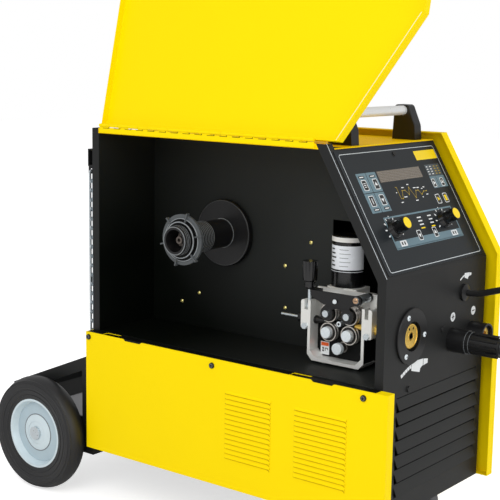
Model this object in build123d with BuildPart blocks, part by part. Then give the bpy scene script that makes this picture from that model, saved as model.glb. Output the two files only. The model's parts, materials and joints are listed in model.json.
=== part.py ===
from build123d import *
from math import atan2, cos, degrees, pi, radians, sin, sqrt, tan
import os

# Compact wire-feed welding machine on its trolley, with the spool bay open.
# Row frame: +X towards the control face, +Y towards the far side, +Z up.
# Z = 0 is the floor, and X = Y = 0 is the middle of the machine without its lead.

os.makedirs("parts", exist_ok=True)


def finish(builder, name):
    """Label a finished piece and write its STEP file."""
    builder.part.label = name
    export_step(builder.part, f"parts/{name}.step")


# ---------------------------------------------------------------- driving dimensions
sheet = 1.5                 # folded sheet metal
running = 0.05              # radial clearance of a shaft in its bore
gap = 0.3                   # clearance between pieces that pass or seat

body_length = 603.0         # rear panel's face to the upright front face
body_width = 312.0
sill_z = 308.0              # top edge of the lower side panel
base_z = 96.0               # underside of the base tray
bay_height = 349.0          # sill to the top cover
bay_depth = 142.0           # opening to the bay's back wall
pillar = 15.0               # width of the black flange round the opening
break_height = 164.4        # fold between upright and sloping face, above the sill
slope_rise = 197.2
slope_run = 116.3
rail_width = 17.0           # raised hinge rail along the top's near edge
rail_rise = 8.5
cover_stand = 18.0          # side covers stand off the body by this much
cover_proud = 20.0          # and stand out in front of the black face

wheel_r = 104.0
wheel_behind = 109.0        # axle behind the rear panel's face
tyre_width = 40.0
rim_r = 64.0
axle_z = wheel_r
socket_reach = 30.0         # power socket collars in front of the face

# ---------------------------------------------------------------- derived stations
rear_x = -(wheel_behind + wheel_r + body_length + socket_reach) / 2 + wheel_behind + wheel_r
front_x = rear_x + body_length
near_y = -body_width / 2
far_y = body_width / 2
bay_x = rear_x + pillar
wall_y = near_y + bay_depth
top_z = sill_z + bay_height
break_z = sill_z + break_height
slope_top_x = front_x - slope_run
slope_top_z = break_z + slope_rise
slope_angle = degrees(atan2(slope_run, slope_rise))
rail_z = top_z + rail_rise


def slope_x(z, proud=0.0):
    """X of the sloping face at height z, moved outwards by proud."""
    shift = proud / cos(radians(slope_angle))
    return front_x - (z - break_z) * slope_run / slope_rise + shift


def side_outline(bottom, top, proud, back):
    """Corners of the machine's side view, moved out of the front face by proud."""
    corner_z = break_z + proud * tan(radians(slope_angle / 2))
    points = [(back, bottom), (front_x + proud, bottom)]
    if top > corner_z:
        points += [(front_x + proud, corner_z), (slope_x(top, proud), top)]
    else:
        points += [(front_x + proud, top)]
    return points + [(back, top)]


# The sloping face as a plane: x runs to the far side, y up the slope, z out of it.
face_normal = Vector(cos(radians(slope_angle)), 0, sin(radians(slope_angle)))
face_plane = Plane(origin=(slope_top_x, 0, slope_top_z), x_dir=(0, 1, 0), z_dir=face_normal)

# ---------------------------------------------------------------- base tray and casters' plates
tray_thick = 2.0
tray_side = 22.0
caster_x = front_x - 68.0
caster_y = body_width / 2 - 34.0
caster_plate = 58.0
caster_plate_thick = 3.0
king_r = 6.0
king_head_r = 9.0
king_head = 3.0
fork_crown = 6.0            # thickness of a caster fork's crown
king_length = fork_crown + 2 * gap + king_head

with BuildPart() as base_tray:
    with Locations(((rear_x + front_x) / 2, 0, base_z + tray_thick / 2)):
        Box(body_length, body_width, tray_thick)
    for side in (-1, 1):
        with Locations(((rear_x + front_x) / 2, side * (far_y - sheet / 2),
                        base_z + tray_thick + tray_side / 2)):
            Box(body_length - 2 * sheet - 2 * gap, sheet, tray_side)
    for side in (-1, 1):
        with Locations((caster_x, side * caster_y, base_z - caster_plate_thick / 2)):
            Box(caster_plate, caster_plate, caster_plate_thick)
        king_top = base_z - caster_plate_thick
        with BuildSketch(Plane.XY.offset(king_top - king_length)):
            with Locations((caster_x, side * caster_y)):
                Circle(king_r)
        extrude(amount=king_length)
        with BuildSketch(Plane.XY.offset(king_top - king_length)):
            with Locations((caster_x, side * caster_y)):
                Circle(king_head_r)
        extrude(amount=king_head)
finish(base_tray, "base_tray")

# ---------------------------------------------------------------- rear panel
floor_z = base_z + tray_thick
gland_y = near_y + 23.0
gland_z = sill_z + 84.0
gland_r = 10.5
gas_y = 70.0
gas_z = sill_z - 60.0
gas_r = 5.0
fan_y = 20.0
fan_z = sill_z - 105.0
fan_slots = 9
fan_slot_width = 52.0
fan_slot_height = 5.0
fan_slot_pitch = 12.0
fan_column_pitch = 62.0


def end_outline():
    """End view of the body: the hinge rail stands above the rest of the top."""
    return [(near_y, floor_z), (far_y, floor_z), (far_y, top_z), (near_y + rail_width, top_z),
            (near_y + rail_width, rail_z), (near_y, rail_z)]


with BuildPart() as rear_panel:
    with BuildSketch(Plane.YZ.offset(rear_x)):
        Polygon(*end_outline(), align=None)
        with Locations((gland_y, gland_z)):
            Circle(gland_r - 3.0, mode=Mode.SUBTRACT)
        with Locations((gas_y, gas_z)):
            Circle(gas_r, mode=Mode.SUBTRACT)
        with Locations((fan_y, fan_z)):
            with GridLocations(fan_column_pitch, fan_slot_pitch, 2, fan_slots):
                Rectangle(fan_slot_width, fan_slot_height, mode=Mode.SUBTRACT)
    extrude(amount=sheet)
    for side in (-1, 1):
        flange_top = rail_z if side < 0 else top_z
        with BuildSketch(Plane.XY.offset(floor_z + tray_side + gap)):
            with Locations((rear_x + pillar / 2, side * (far_y - sheet / 2))):
                Rectangle(pillar, sheet)
        extrude(amount=flange_top - floor_z - tray_side - gap)
finish(rear_panel, "rear_panel")

# ---------------------------------------------------------------- bay liner
cutout_x0 = front_x - 192.0
cutout_x1 = front_x - 66.0
cutout_z0 = sill_z + 110.0
cutout_z1 = sill_z + 223.0
liner_x1 = front_x - sheet - gap
lip_x1 = front_x - pillar - gap
liner_top = top_z - gap
liner_lip = 20.0            # edge of the floor, turned down behind the lower side panel

with BuildPart() as bay_liner:
    with BuildSketch(Plane.XZ.offset(-wall_y - sheet)):
        wall_outline = side_outline(sill_z, liner_top, -sheet - gap, bay_x)
        Polygon(*wall_outline, align=None)
        with BuildLine():
            Polyline((cutout_x0, cutout_z0), (cutout_x1, cutout_z0), (cutout_x1, cutout_z1),
                     (cutout_x0, cutout_z1), close=True)
        make_face(mode=Mode.SUBTRACT)
    extrude(amount=sheet)
    with Locations((bay_x + sheet / 2, (near_y + wall_y) / 2, (sill_z + liner_top) / 2)):
        Box(sheet, bay_depth, liner_top - sill_z)
    with BuildSketch(Plane.XY.offset(sill_z)):
        Polygon((bay_x, near_y), (lip_x1, near_y), (lip_x1, near_y + sheet + gap),
                (liner_x1, near_y + sheet + gap), (liner_x1, wall_y), (bay_x, wall_y), align=None)
    extrude(amount=sheet)
    with Locations(((bay_x + lip_x1) / 2, near_y + sheet / 2, sill_z - liner_lip / 2)):
        Box(lip_x1 - bay_x, sheet, liner_lip)
bay_floor_z = sill_z + sheet
finish(bay_liner, "bay_liner")

# ---------------------------------------------------------------- power module
module_length = 380.0
module_clear = 20.0         # from the rear panel's outside to the module
module_width = 190.0
module_height = 150.0
module_fins = 10
fin_depth = 26.0

with BuildPart() as power_module:
    with BuildSketch(Plane.YZ.offset(rear_x + module_clear)):
        with Locations((0, floor_z + module_height / 2)):
            Rectangle(module_width, module_height)
        with Locations((0, floor_z + module_height - fin_depth / 2)):
            with GridLocations(module_width / module_fins, 0, module_fins, 1):
                Rectangle(module_width / module_fins / 2, fin_depth, mode=Mode.SUBTRACT)
    extrude(amount=module_length)
finish(power_module, "power_module")

# ---------------------------------------------------------------- front sockets' places
wire_y = near_y + 75.0
wire_z = sill_z + 70.0
torch_flange_r = 43.5
torch_flange_thick = 4.0
torch_hole_r = 23.0
torch_screw_pcd = 68.0
power_z = sill_z + 41.5
plus_y = near_y + 205.0
minus_y = near_y + 270.0
collar_r = 19.5
collar_neck_r = 16.0
grommet_y = near_y + 239.0
grommet_z = sill_z + 113.6
grommet_r = 14.0
grommet_neck_r = 9.5
vent_y0 = near_y + 40.0
vent_y1 = near_y + 294.0
vent_z1 = sill_z - 20.0
vent_slats = 7
slat_pitch = 22.6
vent_z0 = vent_z1 - vent_slats * slat_pitch

# Places on the sloping face: y across the machine, s down from the slope's top edge.
knob_places = ((near_y + 76.7, 154.5), (near_y + 228.3, 154.5))
knob_shaft_r = 3.0
window_y0 = near_y + 99.0
window_y1 = near_y + 227.0
window_s0 = 58.0
window_s1 = 77.0

# ---------------------------------------------------------------- front panel
panel_top_s = (slope_top_z - top_z) / cos(radians(slope_angle))

with BuildPart() as front_panel:
    with BuildSketch(Plane.XZ.offset(-far_y)):
        outer = side_outline(floor_z, slope_top_z, 0, front_x - pillar)
        inner = side_outline(floor_z, slope_top_z, -sheet, front_x - pillar)
        Polygon(*(outer[1:4] + inner[3:0:-1]), align=None)
    extrude(amount=body_width)
    for side in (-1, 1):
        with BuildSketch(Plane.XZ.offset(-far_y if side > 0 else -near_y - sheet)):
            band = side_outline(floor_z + tray_side + gap, slope_top_z, -pillar, 0)
            outer = side_outline(floor_z + tray_side + gap, slope_top_z, 0, 0)
            Polygon(*(outer[1:4] + band[3:0:-1]), align=None)
        extrude(amount=sheet)
    with Locations((slope_top_x, (near_y + rail_width + far_y) / 2, top_z + 50.0)):
        Box(200.0, far_y - near_y - rail_width, 100.0, mode=Mode.SUBTRACT)
    with Locations((slope_top_x, near_y + rail_width / 2, rail_z + 50.0)):
        Box(200.0, rail_width, 100.0, mode=Mode.SUBTRACT)
    with BuildSketch(Plane.YZ.offset(front_x - 2 * sheet)):
        with Locations((wire_y, wire_z)):
            Circle(torch_hole_r)
        with Locations((plus_y, power_z), (minus_y, power_z)):
            Circle(collar_neck_r)
        with Locations((grommet_y, grommet_z)):
            Circle(grommet_neck_r)
        with Locations(((vent_y0 + vent_y1) / 2, (vent_z0 + vent_z1) / 2)):
            Rectangle(vent_y1 - vent_y0, vent_z1 - vent_z0)
    extrude(amount=4 * sheet, mode=Mode.SUBTRACT)
    with BuildSketch(face_plane.offset(-2 * sheet)):
        for knob_y, knob_s in knob_places:
            with Locations((knob_y, -knob_s)):
                Circle(knob_shaft_r + 1.5)
        with Locations(((window_y0 + window_y1) / 2, -(window_s0 + window_s1) / 2)):
            Rectangle(window_y1 - window_y0 - 6.0, window_s1 - window_s0 - 6.0)
    extrude(amount=4 * sheet, mode=Mode.SUBTRACT)
finish(front_panel, "front_panel")

# ---------------------------------------------------------------- front grille
grille_frame = 8.0
grille_thick = 2.0
slat_face = 16.5            # width of one slat's visible face
slat_out = 9.0              # how far a slat's lower edge leans out

with BuildPart() as front_grille:
    grille_back = front_x - sheet
    with BuildSketch(Plane.YZ.offset(grille_back - grille_thick)):
        with Locations(((vent_y0 + vent_y1) / 2, (vent_z0 + vent_z1) / 2)):
            Rectangle(vent_y1 - vent_y0 + 2 * grille_frame, vent_z1 - vent_z0 + 2 * grille_frame)
            Rectangle(vent_y1 - vent_y0 - 2.0, vent_z1 - vent_z0 - 2.0, mode=Mode.SUBTRACT)
    extrude(amount=grille_thick)
    with BuildSketch(Plane.XZ.offset(-vent_y1 + gap)):
        for slat in range(vent_slats):
            slat_top = vent_z1 - slat * slat_pitch - 2.0
            Polygon((grille_back - grille_thick, slat_top), (grille_back, slat_top),
                    (grille_back + slat_out - 2.0, slat_top - slat_face),
                    (grille_back + slat_out - 4.0, slat_top - slat_face), align=None)
    extrude(amount=vent_y1 - vent_y0 - 2 * gap)
finish(front_grille, "front_grille")

# ---------------------------------------------------------------- top cover
with BuildPart() as top_cover:
    with BuildSketch(Plane.YZ.offset(bay_x)):
        Polygon((near_y, top_z), (near_y, rail_z), (near_y + rail_width, rail_z),
                (near_y + rail_width, top_z + sheet), (far_y, top_z + sheet), (far_y, top_z),
                (near_y + rail_width - sheet, top_z),
                (near_y + rail_width - sheet, rail_z - sheet),
                (near_y + sheet, rail_z - sheet), (near_y + sheet, top_z), align=None)
    extrude(amount=slope_x(top_z) - bay_x)
    for depth, inset in ((rail_width, sheet), (sheet, pillar)):
        with BuildSketch(Plane.XZ.offset(-near_y - depth)):
            Polygon((slope_x(top_z, -inset), top_z), (slope_x(top_z) + 5.0, top_z),
                    (slope_x(top_z) + 5.0, rail_z), (slope_x(rail_z, -inset), rail_z), align=None)
        extrude(amount=depth, mode=Mode.SUBTRACT)
finish(top_cover, "top_cover")

# ---------------------------------------------------------------- side covers
louvre_first = 48.4         # first louvre below the sill
louvre_pitch = 8.3
louvre_rows = 14
louvre_height = 4.4
louvre_out = 2.2
louvre_groups = ((front_x - 284.4, front_x - 192.6), (front_x - 146.4, front_x - 50.2))
cover_back = rear_x
cover_bottom = base_z
screw_r = 2.5
screw_head_r = 5.0
latch_places = (bay_x + 40.0, front_x - 143.0)
latch_length = 34.0
near_screws = ((bay_x - 8.0, sill_z - 9.0), (bay_x + 274.5, sill_z - 12.0),
               (front_x - 22.0, sill_z - 11.0))


def cover_shell(side, top, proud):
    """Tray-shaped side cover: a plate with a rim that reaches back to the body."""
    skin = side * (far_y + cover_stand)
    outer = side_outline(cover_bottom, top, proud, cover_back)
    inner = side_outline(cover_bottom + sheet, top - sheet, proud - sheet, cover_back + sheet)
    plane = Plane.XZ.offset(-skin if side > 0 else -skin - cover_stand)
    with BuildSketch(plane) as tray:
        Polygon(*outer, align=None)
    extrude(tray.sketch, amount=cover_stand)
    plane = Plane.XZ.offset(-skin + sheet if side > 0 else -skin - cover_stand)
    with BuildSketch(plane) as hollow:
        Polygon(*inner, align=None)
    extrude(hollow.sketch, amount=cover_stand - sheet, mode=Mode.SUBTRACT)


def louvres(side):
    """Rows of pressed louvres: a slot under a small hood."""
    skin = side * (far_y + cover_stand)
    for x0, x1 in louvre_groups:
        for row in range(louvre_rows):
            z = sill_z - louvre_first - row * louvre_pitch
            with Locations(((x0 + x1) / 2, skin - side * sheet / 2, z - louvre_height / 2)):
                Box(x1 - x0, sheet, louvre_height, mode=Mode.SUBTRACT)
            with BuildSketch(Plane.YZ.offset(x0)) as hood:
                Polygon((skin, z), (skin + side * louvre_out, z - louvre_height),
                        (skin + side * (louvre_out - 1.0), z - louvre_height),
                        (skin - side * sheet, z), align=None)
            extrude(hood.sketch, amount=x1 - x0)


with BuildPart() as near_side_panel:
    cover_shell(-1, sill_z, cover_proud)
    louvres(-1)
    with BuildSketch(Plane.XZ.offset(-near_y)):
        for screw_x, screw_z in near_screws:
            with Locations((screw_x, screw_z)):
                Circle(screw_r + gap)
    extrude(amount=cover_stand + sheet, mode=Mode.SUBTRACT)
    for latch_x in latch_places:
        with Locations((latch_x, near_y - cover_stand / 2, sill_z - sheet / 2)):
            Box(latch_length, cover_stand - 2 * sheet, 2 * sheet, mode=Mode.SUBTRACT)
finish(near_side_panel, "near_side_panel")

far_top = top_z + sheet + 12.0
with BuildPart() as far_side_cover:
    cover_shell(1, far_top, cover_proud)
    louvres(1)
finish(far_side_cover, "far_side_cover")

# ---------------------------------------------------------------- cover screws
face_screws = ((near_y + 73.0, sill_z - 12.7), (near_y + 173.0, sill_z + 64.0))
with BuildPart() as cover_screws:
    for screw_x, screw_z in near_screws:
        with BuildSketch(Plane.XZ.offset(-near_y + cover_stand)):
            with Locations((screw_x, screw_z)):
                Circle(screw_head_r)
        extrude(amount=2.6, taper=12)
        with BuildSketch(Plane.XZ.offset(-near_y)):
            with Locations((screw_x, screw_z)):
                Circle(screw_r)
        extrude(amount=cover_stand)
    for screw_y, screw_z in face_screws:
        with BuildSketch(Plane.YZ.offset(front_x)):
            with Locations((screw_y, screw_z)):
                Circle(screw_head_r)
        extrude(amount=2.6, taper=12)
    with BuildSketch(face_plane.offset(0.8)):
        with Locations((near_y + 171.0, -32.0)):
            Circle(screw_head_r - 1.0)
    extrude(amount=1.6, taper=12)
finish(cover_screws, "cover_screws")

# ---------------------------------------------------------------- lid and its piano hinge
lid_open = 192.6            # opened this far from shut, at rest
hinge_y = near_y - 0.2
hinge_z = sill_z + 363.0
knuckle_r = 2.8
pin_r = 1.3
leaf_thick = 1.2
knuckle_pairs = 10
hinge_x0 = bay_x + 4.0
leaf_length = slope_top_x - 17.7 - hinge_x0
knuckle_length = leaf_length / (2 * knuckle_pairs)
lid_depth = 16.0            # outer skin to the hinge axis
lid_length = hinge_z - sill_z - 1.0
lid_sheet = 1.2

with BuildPart() as lid_hinge:
    with BuildSketch(Plane.XZ.offset(-near_y)):
        with Locations((hinge_x0 + leaf_length / 2, (top_z + 1.0 + hinge_z - 3.6) / 2)):
            Rectangle(leaf_length, hinge_z - 3.6 - top_z - 1.0)
    extrude(amount=leaf_thick)
    for pair in range(knuckle_pairs):
        with BuildSketch(Plane.YZ.offset(hinge_x0 + 2 * pair * knuckle_length)):
            with Locations((hinge_y, hinge_z)):
                Circle(knuckle_r)
            Polygon((near_y - leaf_thick, hinge_z - 4.0), (near_y, hinge_z - 4.0),
                    (near_y, hinge_z), (near_y - leaf_thick, hinge_z), align=None)
            with Locations((hinge_y, hinge_z)):
                Circle(pin_r + running, mode=Mode.SUBTRACT)
        extrude(amount=knuckle_length - gap)
    with BuildSketch(Plane.YZ.offset(hinge_x0)):
        with Locations((hinge_y, hinge_z)):
            Circle(pin_r)
    extrude(amount=leaf_length)
finish(lid_hinge, "lid_hinge")

# The lid in its own plane: x along the hinge, y away from the hinge, z into the bay.
lean = radians(lid_open - 180.0)
lid_plane = Plane(origin=(0, hinge_y, hinge_z), x_dir=(1, 0, 0),
                  z_dir=(0, -cos(lean), sin(lean)))


def lid_outline(inset):
    """Outline of the lid about the hinge line, following the machine's sloping front."""
    shut = side_outline(hinge_z - lid_length + inset, hinge_z - inset - 0.6,
                        cover_proud - inset, hinge_x0 + inset)
    return [(x, hinge_z - z) for x, z in shut]


latch_travel = 8.0
latch_grip = 9.0            # height of a latch's finger grip
latch_v = lid_length - 24.0
tongue_width = latch_length - 6.0
tongue_w = -lid_depth + lid_sheet + gap
tongue_thick = 3.0

with BuildPart() as lid:
    with BuildSketch(lid_plane.offset(-lid_depth)):
        Polygon(*lid_outline(0), align=None)
    extrude(amount=lid_depth - knuckle_r - gap)
    with BuildSketch(lid_plane.offset(-lid_depth + lid_sheet)):
        Polygon(*lid_outline(lid_sheet), align=None)
    extrude(amount=lid_depth, mode=Mode.SUBTRACT)
    for pair in range(knuckle_pairs):
        knuckle_x = hinge_x0 + (2 * pair + 1) * knuckle_length
        with BuildSketch(Plane.YZ.offset(knuckle_x)):
            with Locations(Location((hinge_y, hinge_z), 180 - degrees(lean))):
                Circle(knuckle_r)
            tab = [(-lid_depth + 1.0, 0.6), (-lid_depth + 1.0, 1.8), (0, 1.8), (0, 0.6)]
            Polygon(*[(hinge_y - w * cos(lean) + v * sin(lean),
                       hinge_z + w * sin(lean) + v * cos(lean)) for w, v in tab], align=None)
            with Locations((hinge_y, hinge_z)):
                Circle(pin_r + running, mode=Mode.SUBTRACT)
        extrude(amount=knuckle_length - gap)
    with BuildSketch(lid_plane.offset(-lid_depth)):
        for latch_x in latch_places:
            with Locations((latch_x, latch_v + latch_travel / 2)):
                Rectangle(latch_length + 2 * gap, latch_grip + latch_travel + 2 * gap)
    extrude(amount=lid_sheet, mode=Mode.SUBTRACT)
    with BuildSketch(lid_plane.offset(tongue_w - gap)):
        for latch_x in latch_places:
            with Locations((latch_x, lid_length)):
                Rectangle(tongue_width + 2 * gap, 4 * lid_sheet)
    extrude(amount=tongue_thick + 2 * gap, mode=Mode.SUBTRACT)
finish(lid, "lid")

for latch_name, latch_x in zip(("lid_latch_rear", "lid_latch_front"), latch_places):
    with BuildPart() as lid_latch:
        with BuildSketch(lid_plane.offset(-lid_depth - 3.0)):
            with Locations((latch_x, latch_v)):
                RectangleRounded(latch_length, latch_grip, 2.0)
        extrude(amount=3.0 + lid_sheet + gap + tongue_thick)
        with BuildSketch(lid_plane.offset(tongue_w)):
            with Locations((latch_x, latch_v + 3.0)):
                Rectangle(tongue_width, 2 * (lid_length - latch_v - 3.0 - 2 * lid_sheet))
        extrude(amount=tongue_thick)
    finish(lid_latch, latch_name)

# ---------------------------------------------------------------- handle
handle_x = front_x - 145.0
handle_z = sill_z + 399.0
tube_r = 8.0
tube_wall = 1.5
bracket_width = 21.0
bracket_near = near_y + 80.0
bracket_far = near_y + 271.0
bracket_bore = 13.0         # depth of the tube's seat in a bracket

with BuildPart() as handle_tube:
    with BuildSketch(Plane.XZ.offset(-bracket_far - bracket_bore + gap)):
        with Locations((handle_x, handle_z)):
            Circle(tube_r)
            Circle(tube_r - tube_wall, mode=Mode.SUBTRACT)
    extrude(amount=bracket_far - bracket_near - bracket_width + 2 * bracket_bore - 2 * gap)
finish(handle_tube, "handle_tube")

with BuildPart() as handle_brackets:
    foot_z = top_z + sheet
    for inner_y, side in ((bracket_near + bracket_width, -1), (bracket_far, 1)):
        outer_y = inner_y + side * bracket_width
        with BuildSketch(Plane.XZ.offset(-max(inner_y, outer_y))):
            with BuildLine():
                l1 = Line((handle_x - 20.0, foot_z), (handle_x + 25.0, foot_z))
                l2 = Line(l1 @ 1, (handle_x + 23.0, foot_z + 26.0))
                l3 = Line(l2 @ 1, (handle_x + 9.0, handle_z + 9.5))
                l4 = Line(l3 @ 1, (handle_x - 17.0, handle_z + 9.5))
                Line(l4 @ 1, l1 @ 0)
            make_face()
            fillet(vertices().group_by(Axis.Y)[-1], 7.0)
        extrude(amount=bracket_width)
        bore_from = min(inner_y, inner_y + side * bracket_bore)
        with BuildSketch(Plane.XZ.offset(-bore_from - bracket_bore)):
            with Locations((handle_x, handle_z)):
                Circle(tube_r + running)
        extrude(amount=bracket_bore, mode=Mode.SUBTRACT)
    outer_edges = edges().filter_by(Axis.Y, reverse=True)
    rim_edges = outer_edges.filter_by(lambda e: e.center().Z > handle_z + 9.0)
    chamfer(rim_edges, 1.2)
finish(handle_brackets, "handle_brackets")

# ---------------------------------------------------------------- control overlay and window
overlay_thick = 0.8
overlay_y0 = near_y + 10.0
overlay_y1 = far_y - 6.0
overlay_s0 = panel_top_s + 3.0
overlay_s1 = 223.0

with BuildPart() as control_overlay:
    with BuildSketch(face_plane):
        with Locations(((overlay_y0 + overlay_y1) / 2, -(overlay_s0 + overlay_s1) / 2)):
            RectangleRounded(overlay_y1 - overlay_y0, overlay_s1 - overlay_s0, 3.0)
        for knob_y, knob_s in knob_places:
            with Locations((knob_y, -knob_s)):
                Circle(knob_shaft_r + 1.5, mode=Mode.SUBTRACT)
        with Locations(((window_y0 + window_y1) / 2, -(window_s0 + window_s1) / 2)):
            Rectangle(window_y1 - window_y0, window_s1 - window_s0, mode=Mode.SUBTRACT)
        with Locations((near_y + 171.0, -32.0)):
            Circle(screw_head_r - 1.5, mode=Mode.SUBTRACT)
    extrude(amount=overlay_thick)
finish(control_overlay, "control_overlay")

with BuildPart() as display_window:
    with BuildSketch(face_plane):
        with Locations(((window_y0 + window_y1) / 2, -(window_s0 + window_s1) / 2)):
            Rectangle(window_y1 - window_y0, window_s1 - window_s0)
    extrude(amount=overlay_thick)
finish(display_window, "display_window")

# ---------------------------------------------------------------- encoder knobs
knob_skirt_r = 15.0
knob_skirt = 7.0
knob_grip_r = 10.5
knob_length = 26.0
knob_flutes = 18

for knob_name, (knob_y, knob_s) in zip(("knob_left", "knob_right"), knob_places):
    knob_base = overlay_thick + gap
    with BuildPart() as knob:
        with BuildSketch(face_plane.offset(knob_base)):
            with Locations((knob_y, -knob_s)):
                Circle(knob_skirt_r)
        extrude(amount=knob_skirt, taper=16)
        with BuildSketch(face_plane.offset(knob_base + knob_skirt)):
            with Locations((knob_y, -knob_s)):
                Circle(knob_grip_r)
                with PolarLocations(knob_grip_r, knob_flutes):
                    Rectangle(0.8, 0.8, mode=Mode.SUBTRACT)
        extrude(amount=knob_length - knob_skirt)
        with BuildSketch(face_plane.offset(-6.0)):
            with Locations((knob_y, -knob_s)):
                Circle(knob_shaft_r)
        extrude(amount=6.0 + knob_base)
    finish(knob, knob_name)

# ---------------------------------------------------------------- torch socket
torch_plane = Plane(origin=(front_x, wire_y, wire_z), x_dir=(0, 1, 0), z_dir=(1, 0, 0))
with BuildPart() as torch_flange:
    with BuildSketch(torch_plane):
        Circle(torch_flange_r)
        Circle(torch_hole_r, mode=Mode.SUBTRACT)
        with PolarLocations(torch_screw_pcd / 2, 3, start_angle=-4):
            Circle(2.7, mode=Mode.SUBTRACT)
    extrude(amount=torch_flange_thick)
    flange_edge = edges().filter_by(GeomType.CIRCLE).sort_by(SortBy.RADIUS)[-2:].sort_by(Axis.X)[-1]
    chamfer(flange_edge, 1.0)
    with BuildSketch(torch_plane):
        with PolarLocations(torch_screw_pcd / 2, 3, start_angle=-4):
            Circle(2.6)
    extrude(amount=torch_flange_thick + 0.4)
finish(torch_flange, "torch_flange")

# ---------------------------------------------------------------- power sockets
insert_r = 12.5
insert_bore_r = 6.6
insert_bore = 22.0
insert_back = 14.0          # insert behind the face
insert_front = 24.0         # insert's mouth in front of the face

with BuildPart() as power_sockets:
    for socket_y in (plus_y, minus_y):
        with BuildSketch(Plane.YZ.offset(front_x)):
            with Locations((socket_y, power_z)):
                Circle(collar_r)
                Circle(insert_r, mode=Mode.SUBTRACT)
        extrude(amount=socket_reach)
        with BuildSketch(Plane.YZ.offset(front_x - 8.0)):
            with Locations((socket_y, power_z)):
                Circle(collar_neck_r - gap)
                Circle(insert_r, mode=Mode.SUBTRACT)
        extrude(amount=8.0)
        with BuildSketch(Plane.YZ.offset(front_x + insert_front)):
            with Locations((socket_y, power_z)):
                Circle(collar_r - 3.0)
        extrude(amount=socket_reach - insert_front, mode=Mode.SUBTRACT)
finish(power_sockets, "power_sockets")

with BuildPart() as socket_inserts:
    for socket_y in (plus_y, minus_y):
        with BuildSketch(Plane.YZ.offset(front_x - insert_back)):
            with Locations((socket_y, power_z)):
                Circle(insert_r)
        extrude(amount=insert_back + insert_front)
        with BuildSketch(Plane.YZ.offset(front_x + insert_front - insert_bore)):
            with Locations((socket_y, power_z)):
                Circle(insert_bore_r)
        extrude(amount=insert_bore, mode=Mode.SUBTRACT)
finish(socket_inserts, "socket_inserts")

# ---------------------------------------------------------------- polarity lead
lead_d = 10.5
grommet_out = 7.0
plug_nose_r = insert_bore_r - 0.1
plug_nose = 20.0
plug_ring_r = 18.0
plug_ring = 8.0
plug_grip_r = 16.5
plug_grip = 50.0
plug_tail = 16.0
plug_end = socket_reach + plug_ring + plug_grip + plug_tail

with BuildPart() as lead_grommet:
    with BuildSketch(Plane.XZ.offset(-grommet_y)):
        with BuildLine():
            Polyline((front_x - 6.0, grommet_z), (front_x - 6.0, grommet_z + grommet_neck_r - 0.2),
                     (front_x, grommet_z + grommet_neck_r - 0.2), (front_x, grommet_z + grommet_r),
                     (front_x + 4.0, grommet_z + grommet_r),
                     (front_x + grommet_out, grommet_z + lead_d / 2 + 1.5),
                     (front_x + grommet_out, grommet_z), close=True)
        make_face()
    revolve(axis=Axis((0, grommet_y, grommet_z), (1, 0, 0)))
finish(lead_grommet, "lead_grommet")

with BuildPart() as lead_plug:
    plug_x = front_x + socket_reach
    with BuildSketch(Plane.XZ.offset(-plus_y)):
        with BuildLine():
            Polyline((plug_x - socket_reach + insert_front - plug_nose, power_z),
                     (plug_x - socket_reach + insert_front - plug_nose, power_z + plug_nose_r),
                     (plug_x - 5.0, power_z + plug_nose_r), (plug_x - 5.0, power_z + insert_r),
                     (plug_x, power_z + insert_r), (plug_x, power_z + plug_ring_r),
                     (plug_x + plug_ring, power_z + plug_ring_r),
                     (plug_x + plug_ring, power_z + plug_grip_r),
                     (plug_x + plug_ring + plug_grip, power_z + plug_grip_r - 2.0),
                     (plug_x + plug_ring + plug_grip, power_z + 11.0),
                     (front_x + plug_end, power_z + lead_d / 2 + 1.5),
                     (front_x + plug_end, power_z), close=True)
        make_face()
    revolve(axis=Axis((0, plus_y, power_z), (1, 0, 0)))
    with BuildSketch(Plane.YZ.offset(plug_x + plug_ring)):
        with Locations((plus_y, power_z)):
            with PolarLocations(plug_grip_r + 0.2, 10):
                Rectangle(2.4, 3.0)
    extrude(amount=plug_grip - 4.0)
finish(lead_plug, "lead_plug")

# The lead's route in front of the face: x out of the face, y across, z up.
lead_route = [(grommet_out, grommet_y, grommet_z), (27, grommet_y, grommet_z), (60, 81, 433),
              (102, 78, 443.5), (155, 73, 445.5), (209, 69, 440), (249, 65, 424),
              (271, 61, 388), (264, 58, 346), (232, 55, 319.4), (190, 52, 319.4),
              (plug_end + 40.0, plus_y, power_z), (plug_end, plus_y, power_z)]
route = [Vector(front_x + x, y, z) for x, y, z in lead_route]
radii = []
for before, at, after in zip(route, route[1:], route[2:]):
    turn = radians((at - before).get_angle(after - at))
    shorter = min((at - before).length, (after - at).length)
    radii.append(0.45 * shorter / tan(turn / 2))
print("lead radii", [round(r, 1) for r in radii])

with BuildPart() as polarity_lead:
    with BuildLine() as lead_line:
        FilletPolyline(*route, radius=radii)
    with BuildSketch(Plane(origin=route[0], z_dir=lead_line.line % 0)):
        Circle(lead_d / 2)
    sweep()
lead_length = sum(edge.length for edge in lead_line.edges())
print("lead length", round(lead_length, 1), "volume ratio",
      round(polarity_lead.part.volume / (pi * lead_d ** 2 / 4 * lead_length), 4))
finish(polarity_lead, "polarity_lead")

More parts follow.
